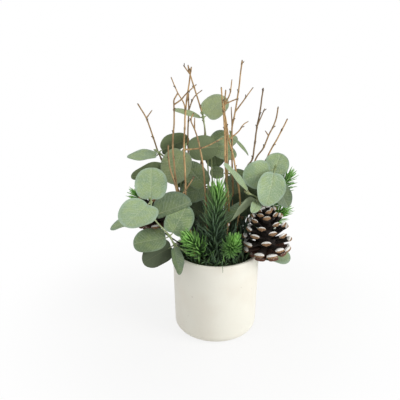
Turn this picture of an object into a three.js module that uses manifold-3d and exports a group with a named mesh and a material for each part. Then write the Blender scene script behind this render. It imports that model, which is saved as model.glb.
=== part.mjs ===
// A potted winter arrangement: eucalyptus, twigs, pine picks and cones held by a foam plug in a pot.
// Millimetres, +Z up. The origin is the centre of the pot's underside. -Y is the front.
import * as THREE from 'three';
import { mergeVertices } from 'three/addons/utils/BufferGeometryUtils.js';
import Module from 'manifold-3d';

const wasm = await Module();
wasm.setup();

// Pot
const potRadius = 50;
const potHeight = 100;
const potTaper = 2.2;
const potWall = 4.5;
const potFloor = 6;
const potFootRound = 10;
const potSides = 36;

// Foam plug and moss
const mossThickness = 9;
const mossDome = 5;
const mossBelowRim = 3;
const fitGap = 0.3;
const plugSides = 20;

// Spread and rise of the foliage, which the tables of places are shares of
const foliageSpread = 100;
const foliageRise = 212;

// Stems, twigs and picks
const legDepth = 42;
const stemRadius = 1.1;
const twigFootRadius = 1.2;
const twigTipRadius = 0.55;
const shootFootRadius = 0.75;
const shootTipRadius = 0.4;
const pickRadius = 1.3;
const wireRadius = 0.8;

// Leaves
const leafLength = 38;
const leafWidth = 36;
const leafThickness = 1;
const petioleLength = 1.6;
const petioleRadius = 0.7;
const collarHeight = 3;
const collarWall = 0.9;

// Needles
const needleLength = 19;
const needleRadius = 0.6;

// Cones
const coneHeight = 50;
const coneRadius = 28;
const coneCoreRadius = 8;
const scaleThickness = 2.6;
const scaleWidth = 11.5;

const weldTolerance = 1e-4;
const goldenAngle = 137.508;
const rad = THREE.MathUtils.degToRad;
const plugRadius = potRadius - potTaper - potWall - fitGap;
const mossTop = potHeight - mossBelowRim;
const mossFoot = mossTop - mossThickness;
const foamTop = mossFoot - fitGap;
const legTop = mossTop + mossDome;

// A place over the rim from its shares of the spread and the rise
function place([xShare, yShare, zShare]) {
  const z = potHeight + zShare * foliageRise;
  return new THREE.Vector3(xShare * foliageSpread, yShare * foliageSpread, z);
}

// A unit vector from a heading, 0 to the right and 90 to the back, and a rise above the level
function direction(heading, rise) {
  const level = Math.cos(rad(rise));
  const x = level * Math.cos(rad(heading));
  const y = level * Math.sin(rad(heading));
  return new THREE.Vector3(x, y, Math.sin(rad(rise)));
}

function toSolid(geometry) {
  const bare = geometry.clone();
  bare.deleteAttribute('normal');
  bare.deleteAttribute('uv');
  const welded = mergeVertices(bare, weldTolerance);
  const vertProperties = welded.attributes.position.array;
  const corners = [];
  for (let i = 0; i < welded.index.count; i += 3) {
    const [a, b, c] = welded.index.array.slice(i, i + 3);
    if (a !== b && b !== c && c !== a) corners.push(a, b, c);
  }
  const triVerts = new Uint32Array(corners);
  return new wasm.Manifold(new wasm.Mesh({ numProp: 3, vertProperties, triVerts }));
}

function toGeometry(solid) {
  const mesh = solid.getMesh();
  const geometry = new THREE.BufferGeometry();
  geometry.setAttribute('position', new THREE.BufferAttribute(mesh.vertProperties, 3));
  geometry.setIndex(new THREE.BufferAttribute(mesh.triVerts, 1));
  return geometry;
}

function joined(solids) {
  return solids.reduce((whole, next) => whole.add(next));
}

// A closed tube through points, whose radius follows radiusAt(share of the way)
function tube(points, radiusAt, sides) {
  const positions = [];
  const index = [];
  let across = new THREE.Vector3(0, 1, 0);
  points.forEach((point, i) => {
    const before = points[Math.max(i - 1, 0)];
    const after = points[Math.min(i + 1, points.length - 1)];
    const along = after.clone().sub(before).normalize();
    across = across.clone().addScaledVector(along, -across.dot(along)).normalize();
    const third = along.clone().cross(across);
    const radius = radiusAt(i / (points.length - 1));
    for (let k = 0; k < sides; k++) {
      const angle = rad(360 * k / sides);
      const corner = point.clone();
      corner.addScaledVector(across, radius * Math.cos(angle));
      corner.addScaledVector(third, radius * Math.sin(angle));
      positions.push(corner.x, corner.y, corner.z);
    }
  });
  for (let i = 0; i + 1 < points.length; i++) {
    for (let k = 0; k < sides; k++) {
      const a = i * sides + k;
      const b = i * sides + (k + 1) % sides;
      index.push(a, b, a + sides, b, b + sides, a + sides);
    }
  }
  const last = (points.length - 1) * sides;
  for (let k = 1; k + 1 < sides; k++) {
    index.push(0, k + 1, k, last, last + k, last + k + 1);
  }
  const geometry = new THREE.BufferGeometry();
  geometry.setAttribute('position', new THREE.Float32BufferAttribute(positions, 3));
  geometry.setIndex(index);
  return geometry;
}

// A pick's straight leg in the foam. It leans outwards, because the picks fan out from the plug.
const legFanShare = 0.85;
function legOf([xShare, yShare]) {
  const top = new THREE.Vector3(xShare * plugRadius, yShare * plugRadius, legTop);
  const foot = new THREE.Vector3(top.x * legFanShare, top.y * legFanShare, legTop - legDepth);
  return { foot, top };
}

// The path of a pick: its leg, then a smooth curve through its places
function pathOf(entryShare, wayShares, stepsPerPlace) {
  const { foot, top } = legOf(entryShare);
  const curve = new THREE.CatmullRomCurve3([top, ...wayShares.map(place)], false, 'centripetal');
  return [foot, ...curve.getPoints(stepsPerPlace * wayShares.length)];
}

// A profile in radius and height, turned round +Z. It runs up the outside and down the inside.
function turned(profile, sides) {
  const geometry = new THREE.LatheGeometry(profile, sides);
  geometry.rotateX(rad(90));
  return geometry;
}

// Pot: a shell with a rounded foot and a thin soft lip
function makePot() {
  const lipRound = potWall / 2;
  const footRadius = potRadius - potTaper;
  const profile = [new THREE.Vector2(0, 0), new THREE.Vector2(footRadius - potFootRound, 0)];
  for (let angle = 30; angle <= 90; angle += 30) {
    const out = footRadius - potFootRound + potFootRound * Math.sin(rad(angle));
    profile.push(new THREE.Vector2(out, potFootRound - potFootRound * Math.cos(rad(angle))));
  }
  for (let angle = 0; angle <= 180; angle += 45) {
    const out = potRadius - lipRound + lipRound * Math.cos(rad(angle));
    profile.push(new THREE.Vector2(out, potHeight - lipRound + lipRound * Math.sin(rad(angle))));
  }
  const innerRadius = footRadius - potWall;
  profile.push(new THREE.Vector2(innerRadius, potFloor + potFootRound));
  profile.push(new THREE.Vector2(innerRadius - potFootRound, potFloor));
  profile.push(new THREE.Vector2(0, potFloor));
  return toSolid(turned(profile, potSides));
}

// Foam plug: it fills the pot up to the moss
function makeFoam() {
  const foot = potFloor + fitGap;
  const profile = [
    new THREE.Vector2(0, foot),
    new THREE.Vector2(plugRadius - potFootRound, foot),
    new THREE.Vector2(plugRadius, foot + potFootRound),
    new THREE.Vector2(plugRadius, foamTop),
    new THREE.Vector2(0, foamTop),
  ];
  return toSolid(turned(profile, plugSides));
}

// How high the moss stands at a distance from the axis
function mossHeight(distance) {
  return mossTop + mossDome * (1 - (distance / plugRadius) ** 2);
}

function makeMoss() {
  const profile = [new THREE.Vector2(0, mossFoot), new THREE.Vector2(plugRadius, mossFoot)];
  for (let share = 1; share > -0.1; share -= 1 / 3) {
    const out = Math.max(share, 0) * plugRadius;
    profile.push(new THREE.Vector2(out, mossHeight(out)));
  }
  return toSolid(turned(profile, plugSides));
}

// What stands where, so that needles grow only where there is room
const taken = [];
function take(points, radius) {
  for (let i = 0; i + 1 < points.length; i++) {
    taken.push({ line: new THREE.Line3(points[i], points[i + 1]), radius });
  }
}

const nearest = new THREE.Vector3();
function isFree(point, radius, others) {
  const out = Math.hypot(point.x, point.y);
  if (out < plugRadius && point.z < mossHeight(out) + radius + fitGap) return false;
  const overRim = point.z > potHeight + radius + fitGap;
  if (!overRim && out > plugRadius - radius - fitGap && out < potRadius + radius + fitGap) return false;
  return others.every(({ line, radius: other }) => {
    line.closestPointToPoint(point, true, nearest);
    return nearest.distanceTo(point) > other + radius + fitGap;
  });
}

const parts = {};
const legs = [];

// Eucalyptus stems. An entry is in shares of the plug's radius, a way in shares of spread and rise.
// Leaves say their hub on the way, and for each blade: where it points and where its upper side looks,
// both as heading and rise, then its length, width, droop and cup shares.
const stemShares = {
  left_front: {
    entry: [-0.66, -0.50],
    way: [[-0.46, -0.36, 0.10], [-0.51, -0.40, 0.155], [-0.68, -0.44, 0.27], [-0.69, -0.48, 0.352]],
    leaves: [
      [0, [-163, -22, 110, -5, 0.9, 0.9, 0.1, 0.1], [-58, -65, -40, 25, 0.76, 0.65, 0, 0.2]],
      [1, [20, 60, -80, 15, 0.88, 0.95, 0, 0.1], [-174, -6, -90, 66, 0.92, 1, 0.1, 0.1]],
      [2, [7, 19, -100, 15, 1, 1, 0.1, 0.1], [180, -9, -90, 87, 1.1, 0.7, 0.1, 0.1]],
      [3, [90, 66, -90, 20, 0.86, 1.1, 0, 0.1], [-125, -16, -90, 52, 0.96, 1.12, 0.05, 0.1]],
    ],
  },
  upper_left: {
    entry: [-0.62, 0.02],
    way: [
      [-0.38, 0.02, 0.19], [-0.43, 0.08, 0.31], [-0.475, 0.13, 0.435], [-0.55, 0.165, 0.48],
      [-0.645, 0.20, 0.51],
    ],
    leaves: [
      [2, [-178, -6, 90, 40, 1.15, 0.8, 0.1, 0.1], [20, -72, -90, 10, 0.62, 0.72, 0, 0.1]],
      [4, [180, -2, -90, 80, 0.85, 0.9, 0, 0.1], [20, 24, 90, 40, 0.86, 1.1, 0.1, 0.1]],
    ],
  },
  centre_left: {
    entry: [-0.42, 0.06],
    way: [[-0.30, 0.04, 0.07], [-0.40, 0.09, 0.24], [-0.39, 0.10, 0.40], [-0.35, 0.08, 0.545]],
    leaves: [
      [3, [-152, -64, -100, 5, 1, 0.95, 0, 0.1], [0, 6, 90, 0, 0.84, 0.95, 0, 0.1]],
    ],
  },
  tall: {
    entry: [-0.14, 0.14],
    way: [
      [-0.12, 0.06, 0.19], [-0.09, 0.09, 0.34], [-0.10, 0.14, 0.485], [-0.12, 0.14, 0.61],
      [-0.15, 0.11, 0.71],
    ],
    leaves: [
      [0, [160, 25, -90, 20, 0.7, 0.9, 0, 0.1], [-110, -60, -90, 20, 0.5, 0.8, 0, 0.1]],
      [1, [180, 50, -90, 20, 0.9, 0.8, 0, 0.1], [-165, -15, -90, 30, 0.7, 1.1, 0, 0.1]],
      [4, [35, 36, -90, 45, 0.8, 1, 0, 0.1], [176, 22, -90, 78, 0.76, 0.42, 0.12, 0.1]],
    ],
  },
  fork: {
    entry: [0.02, 0.30],
    way: [[-0.03, 0.14, 0.27], [-0.05, 0.14, 0.41], [-0.06, 0.14, 0.54]],
    leaves: [
      [
        2, [18, 22, -90, 30, 0.74, 0.6, 0, 0.1], [-6, -16, -90, 20, 0.64, 0.75, 0, 0.1],
        [60, -65, -90, 20, 0.7, 0.9, 0, 0.1],
      ],
    ],
  },
  back_middle: {
    entry: [0.26, 0.46],
    way: [[0.12, 0.20, 0.21], [0.13, 0.24, 0.39], [0.16, 0.26, 0.59]],
    leaves: [
      [
        0, [150, 25, -90, 30, 0.8, 1, 0.1, 0.1], [40, 30, -90, 30, 0.8, 1, 0.1, 0.1],
        [20, -50, -90, 30, 0.8, 1, 0, 0.1],
      ],
      [
        1, [180, 5, -90, 20, 0.4, 1, 0, 0.1], [0, -35, -90, 20, 0.85, 0.8, 0.1, 0.1],
        [-45, -50, -90, 20, 0.75, 0.9, 0, 0.1],
      ],
      [2, [-21, -44, -30, 40, 0.65, 0.3, 0, 0.1], [165, -30, -90, 40, 0.7, 1, 0.1, 0.1]],
    ],
  },
  right: {
    entry: [0.62, 0.10],
    way: [[0.38, 0.16, 0.12], [0.50, 0.10, 0.26], [0.61, -0.04, 0.41], [0.62, -0.13, 0.468]],
    leaves: [
      [
        2, [60, 45, -90, 40, 0.72, 1.05, 0, 0.1], [-33, -56, -60, 10, 0.85, 0.7, 0, 0.1],
        [160, -50, -90, 20, 0.85, 0.9, 0, 0.1],
      ],
      [3, [-173, -19, -95, 12, 0.8, 1.1, 0.1, 0.1], [-119, -67, -80, 20, 0.95, 0.95, 0.1, 0.1]],
    ],
  },
  low_right: {
    entry: [0.88, -0.06],
    way: [
      [0.395, -0.02, 0.033], [0.405, 0.01, 0.12], [0.45, 0.01, 0.215], [0.455, -0.10, 0.30],
      [0.405, -0.19, 0.335], [0.335, -0.26, 0.36],
    ],
    leaves: [
      [0, [-24, -8, -80, 76, 1.15, 1, 0.15, 0]],
      [
        3, [-155, -22, -90, 40, 1, 0.65, 0.1, 0.3], [-100, 9, 0, 60, 0.66, 0.5, 0.25, 0.1],
        [150, -30, -90, 20, 0.85, 0.9, 0, 0.1],
      ],
      [5, [186, 50, -15, 38, 1.02, 0.45, 0, 0.15]],
    ],
  },
  back_left: {
    entry: [-0.46, 0.50],
    way: [[-0.28, 0.30, 0.03], [-0.44, 0.46, 0.08], [-0.56, 0.60, 0.10]],
    leaves: [
      [1, [15, 15, -90, 15, 1, 1.1, 0.1, 0.1], [-160, 5, -90, 70, 0.9, 1, 0.1, 0.1]],
      [2, [110, 20, -90, 60, 0.9, 1, 0.1, 0.1], [170, -10, -90, 60, 0.9, 1, 0.1, 0.1]],
    ],
  },
  back_right: {
    entry: [0.54, 0.66],
    way: [[0.34, 0.36, 0.10], [0.44, 0.50, 0.20]],
    leaves: [
      [1, [25, -5, 90, 50, 0.9, 1, 0.1, 0.1], [125, 10, 90, 60, 0.95, 1, 0.1, 0.1]],
    ],
  },
};

// A leaf blade along +X from its base, with its upper side to +Z: thick along the midrib, sharp at the edge
const bladeStations = 7;
function bladeGeometry(lengthShare, widthShare, droopShare, cupShare) {
  const length = leafLength * lengthShare;
  const half = leafWidth * lengthShare * widthShare / 2;
  const positions = [];
  const index = [];
  for (let k = 0; k <= bladeStations; k++) {
    const turn = rad(180 * k / bladeStations);
    const along = (1 - Math.cos(turn)) / 2;
    const wide = Math.sin(turn);
    const x = along * length;
    const middle = -droopShare * length * along ** 2;
    const edge = middle + cupShare * half * wide ** 2;
    const thick = leafThickness / 2 * wide;
    positions.push(x, half * wide, edge, x, 0, middle + thick, x, -half * wide, edge, x, 0, middle - thick);
  }
  for (let k = 0; k < bladeStations; k++) {
    for (let corner = 0; corner < 4; corner++) {
      const a = 4 * k + corner;
      const b = 4 * k + (corner + 1) % 4;
      index.push(a, b, a + 4, b, b + 4, a + 4);
    }
  }
  const geometry = new THREE.BufferGeometry();
  geometry.setAttribute('position', new THREE.Float32BufferAttribute(positions, 3));
  geometry.setIndex(index);
  return geometry;
}

const wireSides = 6;

// The corner radius of a hole that clears a round wire on every side
function holeRadius(radius) {
  return (radius + fitGap) / Math.cos(rad(180 / wireSides));
}

const collarInner = holeRadius(stemRadius);
const collarOuter = collarInner + collarWall;
function collarAt(hub, along) {
  const low = -collarHeight / 2;
  const high = collarHeight / 2;
  const corners = [[collarInner, low], [collarOuter, low], [collarOuter, high], [collarInner, high]];
  const profile = [...corners, corners[0]].map(([out, up]) => new THREE.Vector2(out, up));
  const geometry = turned(profile, wireSides);
  geometry.applyQuaternion(new THREE.Quaternion().setFromUnitVectors(new THREE.Vector3(0, 0, 1), along));
  geometry.translate(hub.x, hub.y, hub.z);
  return toSolid(geometry);
}

// One blade with its stalk, from the collar at a hub
function leafAt(hub, along, [heading, rise, faceHeading, faceRise, ...bladeShares]) {
  const out = direction(heading, rise);
  const face = direction(faceHeading, faceRise);
  face.addScaledVector(out, -face.dot(out)).normalize();
  const side = face.clone().cross(out);
  const away = out.clone().addScaledVector(along, -out.dot(along)).normalize();
  const root = hub.clone().addScaledVector(away, collarInner + collarWall / 2);
  const elbow = hub.clone().addScaledVector(away, collarOuter + petioleRadius);
  const base = elbow.clone().addScaledVector(out, petioleLength);
  const inside = base.clone().addScaledVector(out, petioleLength);
  const bend = elbow.clone().addScaledVector(out, petioleRadius);
  const stalk = toSolid(tube([root, bend, inside], () => petioleRadius, 3));
  const geometry = bladeGeometry(...bladeShares);
  geometry.applyMatrix4(new THREE.Matrix4().makeBasis(out, side, face).setPosition(base));
  const corners = geometry.attributes.position;
  for (let k = 1; k < bladeStations; k++) {
    const left = new THREE.Vector3().fromBufferAttribute(corners, 4 * k);
    const right = new THREE.Vector3().fromBufferAttribute(corners, 4 * k + 2);
    take([left, right], leafLength / bladeStations / 2);
  }
  return stalk.add(toSolid(geometry));
}

const stemStepsPerPlace = 2;
for (const [name, { entry, way, leaves }] of Object.entries(stemShares)) {
  const path = pathOf(entry, way, stemStepsPerPlace);
  const places = way.map(place);
  const ends = path.slice(-2);
  path.push(ends[1].clone().addScaledVector(ends[1].clone().sub(ends[0]).normalize(), collarHeight));
  parts[`stem_${name}`] = toSolid(tube(path, () => stemRadius, wireSides));
  take(path, stemRadius);
  legs.push({ entry, radius: stemRadius });
  leaves.forEach(([hubIndex, ...blades], i) => {
    const at = 1 + stemStepsPerPlace * (hubIndex + 1);
    const along = path[at + 1].clone().sub(path[at - 1]).normalize();
    const pieces = blades.map((blade) => leafAt(places[hubIndex], along, blade));
    parts[`leaves_${name}_${i + 1}`] = joined([collarAt(places[hubIndex], along), ...pieces]);
  });
}

// Twigs: each with its entry, its way, and side shoots that leave from a place on the way
const twigShares = [
  {
    entry: [-0.52, 0.20],
    way: [
      [-0.35, 0.14, 0.20], [-0.42, 0.22, 0.28], [-0.55, 0.27, 0.385], [-0.66, 0.28, 0.505],
      [-0.78, 0.26, 0.69], [-0.87, 0.24, 0.77],
    ],
    shoots: [[4, [-0.71, 0.24, 0.735]]],
  },
  {
    entry: [-0.66, -0.24],
    way: [
      [-0.36, -0.17, 0.23], [-0.39, -0.18, 0.29], [-0.44, -0.20, 0.41], [-0.46, -0.20, 0.525],
      [-0.47, -0.19, 0.595], [-0.45, -0.18, 0.725], [-0.45, -0.18, 0.80], [-0.45, -0.17, 0.82],
      [-0.41, -0.14, 0.853],
    ],
    shoots: [[6, [-0.37, -0.20, 0.83], [-0.32, -0.24, 0.858], [-0.22, -0.26, 0.903]]],
  },
  {
    entry: [-0.54, -0.36],
    way: [
      [-0.33, -0.20, 0.20], [-0.34, -0.21, 0.28], [-0.34, -0.24, 0.44], [-0.35, -0.25, 0.585],
      [-0.34, -0.24, 0.705], [-0.32, -0.22, 0.825], [-0.30, -0.21, 0.88], [-0.27, -0.20, 0.98],
    ],
    shoots: [
      [4, [-0.34, -0.24, 0.80], [-0.41, -0.29, 0.87], [-0.47, -0.30, 0.94]],
      [3, [-0.19, -0.31, 0.60], [-0.13, -0.33, 0.61], [0.05, -0.37, 0.66]],
    ],
  },
  {
    entry: [-0.34, 0.30],
    way: [
      [-0.27, 0.20, 0.20], [-0.31, 0.24, 0.42], [-0.32, 0.26, 0.58], [-0.31, 0.27, 0.73],
      [-0.31, 0.28, 0.82],
    ],
    shoots: [[3, [-0.25, 0.25, 0.80], [-0.16, 0.22, 0.84]]],
  },
  {
    entry: [-0.20, -0.24],
    way: [
      [-0.11, -0.14, 0.22], [-0.14, -0.16, 0.44], [-0.16, -0.16, 0.515], [-0.18, -0.16, 0.57],
      [-0.20, -0.15, 0.615], [-0.24, -0.13, 0.675], [-0.28, -0.12, 0.72], [-0.25, -0.11, 0.753],
    ],
    shoots: [[5, [-0.24, -0.09, 0.728]]],
  },
  {
    entry: [-0.22, 0.46],
    way: [
      [-0.20, 0.28, 0.20], [-0.19, 0.30, 0.38], [-0.13, 0.24, 0.60], [-0.15, 0.18, 0.70],
      [-0.22, 0.15, 0.82], [-0.29, 0.13, 0.925], [-0.31, 0.13, 0.97],
    ],
    shoots: [[5, [-0.36, 0.13, 0.97]]],
  },
  {
    entry: [0.24, -0.34],
    way: [
      [0.13, -0.16, 0.28], [0.09, -0.18, 0.46], [0.08, -0.18, 0.575], [0.07, -0.18, 0.69],
      [0.05, -0.18, 0.79], [0.03, -0.18, 0.885],
    ],
    shoots: [],
  },
  {
    entry: [0.20, 0.02],
    way: [
      [0.11, 0.00, 0.25], [0.11, -0.04, 0.45], [0.10, -0.08, 0.61], [0.08, -0.09, 0.715],
      [0.07, -0.10, 0.795], [0.08, -0.10, 0.865],
    ],
    shoots: [
      [4, [0.12, -0.12, 0.843], [0.14, -0.13, 0.918]],
      [4, [0.12, -0.12, 0.808], [0.21, -0.15, 0.828]],
    ],
  },
  {
    entry: [0.42, -0.02],
    way: [
      [0.26, -0.10, 0.27], [0.21, -0.12, 0.44], [0.16, -0.12, 0.555], [0.12, -0.12, 0.62],
      [0.10, -0.14, 0.68], [0.07, -0.24, 0.755], [0.04, -0.26, 0.80],
    ],
    shoots: [[3, [0.22, -0.14, 0.665], [0.27, -0.14, 0.70], [0.32, -0.14, 0.715]]],
  },
  {
    entry: [0.32, 0.16],
    way: [
      [0.19, 0.06, 0.24], [0.17, 0.04, 0.47], [0.16, 0.02, 0.63], [0.16, 0.02, 0.67],
      [0.19, 0.02, 0.745], [0.22, 0.02, 0.85], [0.24, 0.02, 0.955], [0.25, 0.02, 1],
    ],
    shoots: [[4, [0.37, 0.00, 0.87]], [3, [0.15, 0.06, 0.768]]],
  },
  {
    entry: [0.50, 0.18],
    way: [
      [0.31, 0.02, 0.25], [0.33, -0.03, 0.465], [0.38, -0.05, 0.505], [0.40, -0.05, 0.58],
      [0.42, -0.05, 0.68], [0.44, -0.05, 0.735], [0.47, -0.05, 0.87],
    ],
    shoots: [[4, [0.49, -0.08, 0.773]]],
  },
  {
    entry: [0.50, 0.42],
    way: [
      [0.36, 0.12, 0.235], [0.43, 0.08, 0.49], [0.51, 0.06, 0.555], [0.56, 0.06, 0.62],
      [0.60, 0.06, 0.66], [0.63, 0.06, 0.70], [0.65, 0.06, 0.77],
    ],
    shoots: [[3, [0.52, 0.04, 0.648]]],
  },
  {
    entry: [0.66, 0.44],
    way: [
      [0.45, 0.22, 0.205], [0.51, 0.16, 0.43], [0.56, 0.14, 0.485], [0.59, 0.14, 0.52],
      [0.66, 0.14, 0.585], [0.77, 0.14, 0.70],
    ],
    shoots: [],
  },
  {
    entry: [-0.54, -0.66],
    way: [
      [-0.31, -0.32, 0.20], [-0.41, -0.32, 0.335], [-0.45, -0.32, 0.425], [-0.49, -0.31, 0.49],
      [-0.51, -0.30, 0.555], [-0.51, -0.29, 0.615],
    ],
    shoots: [[1, [-0.24, -0.36, 0.465]]],
  },
];

const twigStepsPerPlace = 1;
const twigSides = 5;
const shootSides = 4;

// A solid along points, from its foot radius to its tip radius
function narrowing(points, footRadius, tipRadius, sides) {
  return toSolid(tube(points, (share) => THREE.MathUtils.lerp(footRadius, tipRadius, share), sides));
}

twigShares.forEach(({ entry, way, shoots }, i) => {
  const path = pathOf(entry, way, twigStepsPerPlace);
  const solids = [narrowing(path, twigFootRadius, twigTipRadius, twigSides)];
  take(path, twigFootRadius);
  for (const [from, ...shootWay] of shoots) {
    const shoot = [way[from], ...shootWay].map(place);
    solids.push(narrowing(shoot, shootFootRadius, shootTipRadius, shootSides));
    take(shoot, shootFootRadius);
  }
  parts[`twig_${i + 1}`] = joined(solids);
  legs.push({ entry, radius: twigFootRadius });
});

// Cones: each with its wire's entry and way, its foot, its lean as heading and rise, its size share and
// how many scales it has
const coneShares = {
  right: {
    entry: [0.72, -0.36],
    way: [[0.43, -0.18, 0.026], [0.52, -0.20, 0.03]],
    foot: [0.575, -0.20, 0.034],
    lean: [180, 84],
    size: 1,
    scales: 36,
  },
  left: {
    entry: [-0.80, -0.08],
    way: [[-0.56, -0.06, 0.09], [-0.66, -0.09, 0.14]],
    foot: [-0.68, -0.10, 0.165],
    lean: [120, 80],
    size: 0.85,
    scales: 28,
  },
};
// A cone's core as radius and height shares, and its scales' outline as length and half-width shares
const coreShares = [[0, 0], [0.7, 0.04], [1, 0.25], [0.6, 0.7], [0, 0.95]];
const coreSides = 8;
const scaleRootShare = 0.3;
const scaleOutlineShares = [[0.8, 1], [1, 0], [0.8, -1]];
const scaleNarrowingShare = 0.45;
const scaleLowestShare = 0.04;
const scaleHighestShare = 0.7;
const scaleLowestLift = -4;
const scaleHighestLift = 62;
const scaleReachPlaces = [0, 0.2, 0.5, 0.8, 1];
const scaleReachShares = [0.8, 1, 0.78, 0.45, 0.25];
const wireInConeShare = 0.15;

// How far the scales reach at a share of the cone's height
function coneReachShare(share) {
  const i = scaleReachPlaces.findIndex((end, k) => k > 0 && share <= end);
  const between = (share - scaleReachPlaces[i - 1]) / (scaleReachPlaces[i] - scaleReachPlaces[i - 1]);
  return THREE.MathUtils.lerp(scaleReachShares[i - 1], scaleReachShares[i], between);
}

function scaleOf(cone, share, turn) {
  const lift = THREE.MathUtils.lerp(scaleLowestLift, scaleHighestLift, share);
  const reach = coneReachShare(share) * coneRadius * cone.size;
  const length = reach / Math.max(Math.cos(rad(lift)), 0.5);
  const half = scaleWidth / 2 * cone.size * (1 - scaleNarrowingShare * share);
  const root = coneCoreRadius * cone.size * scaleRootShare;
  const outline = new THREE.Shape();
  outline.moveTo(root, half * scaleRootShare);
  outline.lineTo(root, -half * scaleRootShare);
  [...scaleOutlineShares].reverse().forEach(([along, wide]) => outline.lineTo(length * along, half * wide));
  const depth = scaleThickness * cone.size;
  const scale = new THREE.ExtrudeGeometry(outline, { depth, bevelEnabled: false });
  scale.rotateY(-rad(lift));
  const heightShare = THREE.MathUtils.lerp(scaleLowestShare, scaleHighestShare, share);
  scale.translate(0, 0, coneHeight * cone.size * heightShare);
  scale.rotateZ(rad(turn));
  return toSolid(scale);
}

function makeCone(cone, foot, axis) {
  const core = coreShares.map(([outShare, upShare]) => {
    return new THREE.Vector2(outShare * coneCoreRadius * cone.size, upShare * coneHeight * cone.size);
  });
  const solids = [toSolid(turned(core, coreSides))];
  for (let i = 0; i < cone.scales; i++) {
    solids.push(scaleOf(cone, i / (cone.scales - 1), goldenAngle * i));
  }
  const geometry = toGeometry(joined(solids));
  geometry.applyQuaternion(new THREE.Quaternion().setFromUnitVectors(new THREE.Vector3(0, 0, 1), axis));
  geometry.translate(foot.x, foot.y, foot.z);
  return toSolid(geometry);
}

const coneRoomPlaces = [0, 0.5];
const coneRoomShares = [0.95, 0.7];
for (const [name, cone] of Object.entries(coneShares)) {
  const height = coneHeight * cone.size;
  const foot = place(cone.foot);
  const axis = direction(...cone.lean);
  const path = pathOf(cone.entry, cone.way, 2);
  const wireEnd = foot.clone().addScaledVector(axis, height * wireInConeShare);
  path.push(foot, wireEnd);
  const hole = [...path.slice(-3), wireEnd.clone().addScaledVector(axis, fitGap)];
  parts[`cone_wire_${name}`] = toSolid(tube(path, () => wireRadius, wireSides));
  const bore = toSolid(tube(hole, () => holeRadius(wireRadius), wireSides));
  parts[`pine_cone_${name}`] = makeCone(cone, foot, axis).subtract(bore);
  take(path, wireRadius);
  coneRoomPlaces.forEach((from, k) => {
    const low = foot.clone().addScaledVector(axis, height * from);
    const high = foot.clone().addScaledVector(axis, height * (from + 1) / 2);
    take([low, high], coneRadius * cone.size * coneRoomShares[k]);
  });
  legs.push({ entry: cone.entry, radius: wireRadius });
}

// Pine picks: entry, way, how many needles, the share of the way where they start, and their length share
const pineShares = {
  centre: {
    entry: [-0.04, -0.56],
    way: [[-0.03, -0.25, 0.13], [-0.01, -0.24, 0.24], [0.01, -0.22, 0.34], [0.02, -0.20, 0.40]],
    count: 58,
    from: 0.3,
    reach: 1,
  },
  front: {
    entry: [0.26, -0.66],
    way: [[0.16, -0.38, 0.08], [0.19, -0.46, 0.14]],
    count: 34,
    from: 0.5,
    reach: 0.65,
  },
  left_front: {
    entry: [-0.36, -0.56],
    way: [[-0.24, -0.32, 0.09], [-0.31, -0.38, 0.14]],
    count: 32,
    from: 0.5,
    reach: 0.75,
  },
  far_right: {
    entry: [0.72, 0.30],
    way: [[0.50, 0.14, 0.14], [0.68, 0.18, 0.28], [0.83, 0.20, 0.38]],
    count: 32,
    from: 0.6,
    reach: 0.7,
  },
  behind_cone: {
    entry: [0.84, 0.10],
    way: [[0.52, 0.10, 0.08], [0.65, 0.10, 0.15], [0.76, 0.08, 0.20]],
    count: 26,
    from: 0.55,
    reach: 0.6,
  },
  left_back: {
    entry: [-0.80, 0.22],
    way: [[-0.55, 0.14, 0.12], [-0.77, 0.16, 0.23], [-0.90, 0.10, 0.29]],
    count: 24,
    from: 0.6,
    reach: 0.6,
  },
  back: {
    entry: [0.10, 0.80],
    way: [[0.06, 0.50, 0.10], [0.04, 0.62, 0.22]],
    count: 32,
    from: 0.5,
    reach: 0.8,
  },
};
const needleSizeShares = [1, 0.75, 0.5];
const needleCheckShares = [0.15, 0.28, 0.4, 0.55, 0.7, 0.85, 1];
const needleLastShare = 0.99;
const needleLowLean = 70;
const needleTopLean = 18;
const pickNarrowingShare = 0.4;

// The place and heading at a share of a path's length
function along(path, share) {
  const lengths = path.slice(1).map((point, i) => point.distanceTo(path[i]));
  let rest = share * lengths.reduce((sum, length) => sum + length, 0);
  let i = 0;
  while (i + 1 < lengths.length && rest > lengths[i]) {
    rest -= lengths[i];
    i += 1;
  }
  const heading = path[i + 1].clone().sub(path[i]).normalize();
  return { point: path[i].clone().addScaledVector(heading, rest), heading };
}

// One needle's tip, nearer where the way is not free, or none
function needleTip(root, out, length, others) {
  const tips = needleSizeShares.map((share) => root.clone().addScaledVector(out, length * share));
  return tips.find((tip) => {
    return needleCheckShares.every((share) => isFree(root.clone().lerp(tip, share), needleRadius, others));
  });
}

for (const [name, { entry, way, count, from, reach }] of Object.entries(pineShares)) {
  const path = pathOf(entry, way, 2);
  const others = [...taken];
  const solids = [toSolid(tube(path, (share) => pickRadius * (1 - pickNarrowingShare * share), 5))];
  take(path, pickRadius);
  for (let i = 0; i < count; i++) {
    const share = i / (count - 1);
    const { point, heading } = along(path, THREE.MathUtils.lerp(from, needleLastShare, share));
    const lean = rad(THREE.MathUtils.lerp(needleLowLean, needleTopLean, share ** 2));
    const across = new THREE.Vector3(0, 1, 0).addScaledVector(heading, -heading.y).normalize();
    across.applyAxisAngle(heading, rad(goldenAngle * i));
    const out = heading.clone().multiplyScalar(Math.cos(lean));
    out.addScaledVector(across, Math.sin(lean));
    const tip = needleTip(point, out, needleLength * reach, others);
    if (tip) {
      solids.push(toSolid(tube([point, tip], (far) => needleRadius * (1 - far), 3)));
      take([point, tip], needleRadius);
    }
  }
  parts[`pine_pick_${name}`] = joined(solids);
  legs.push({ entry, radius: pickRadius });
}

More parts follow.
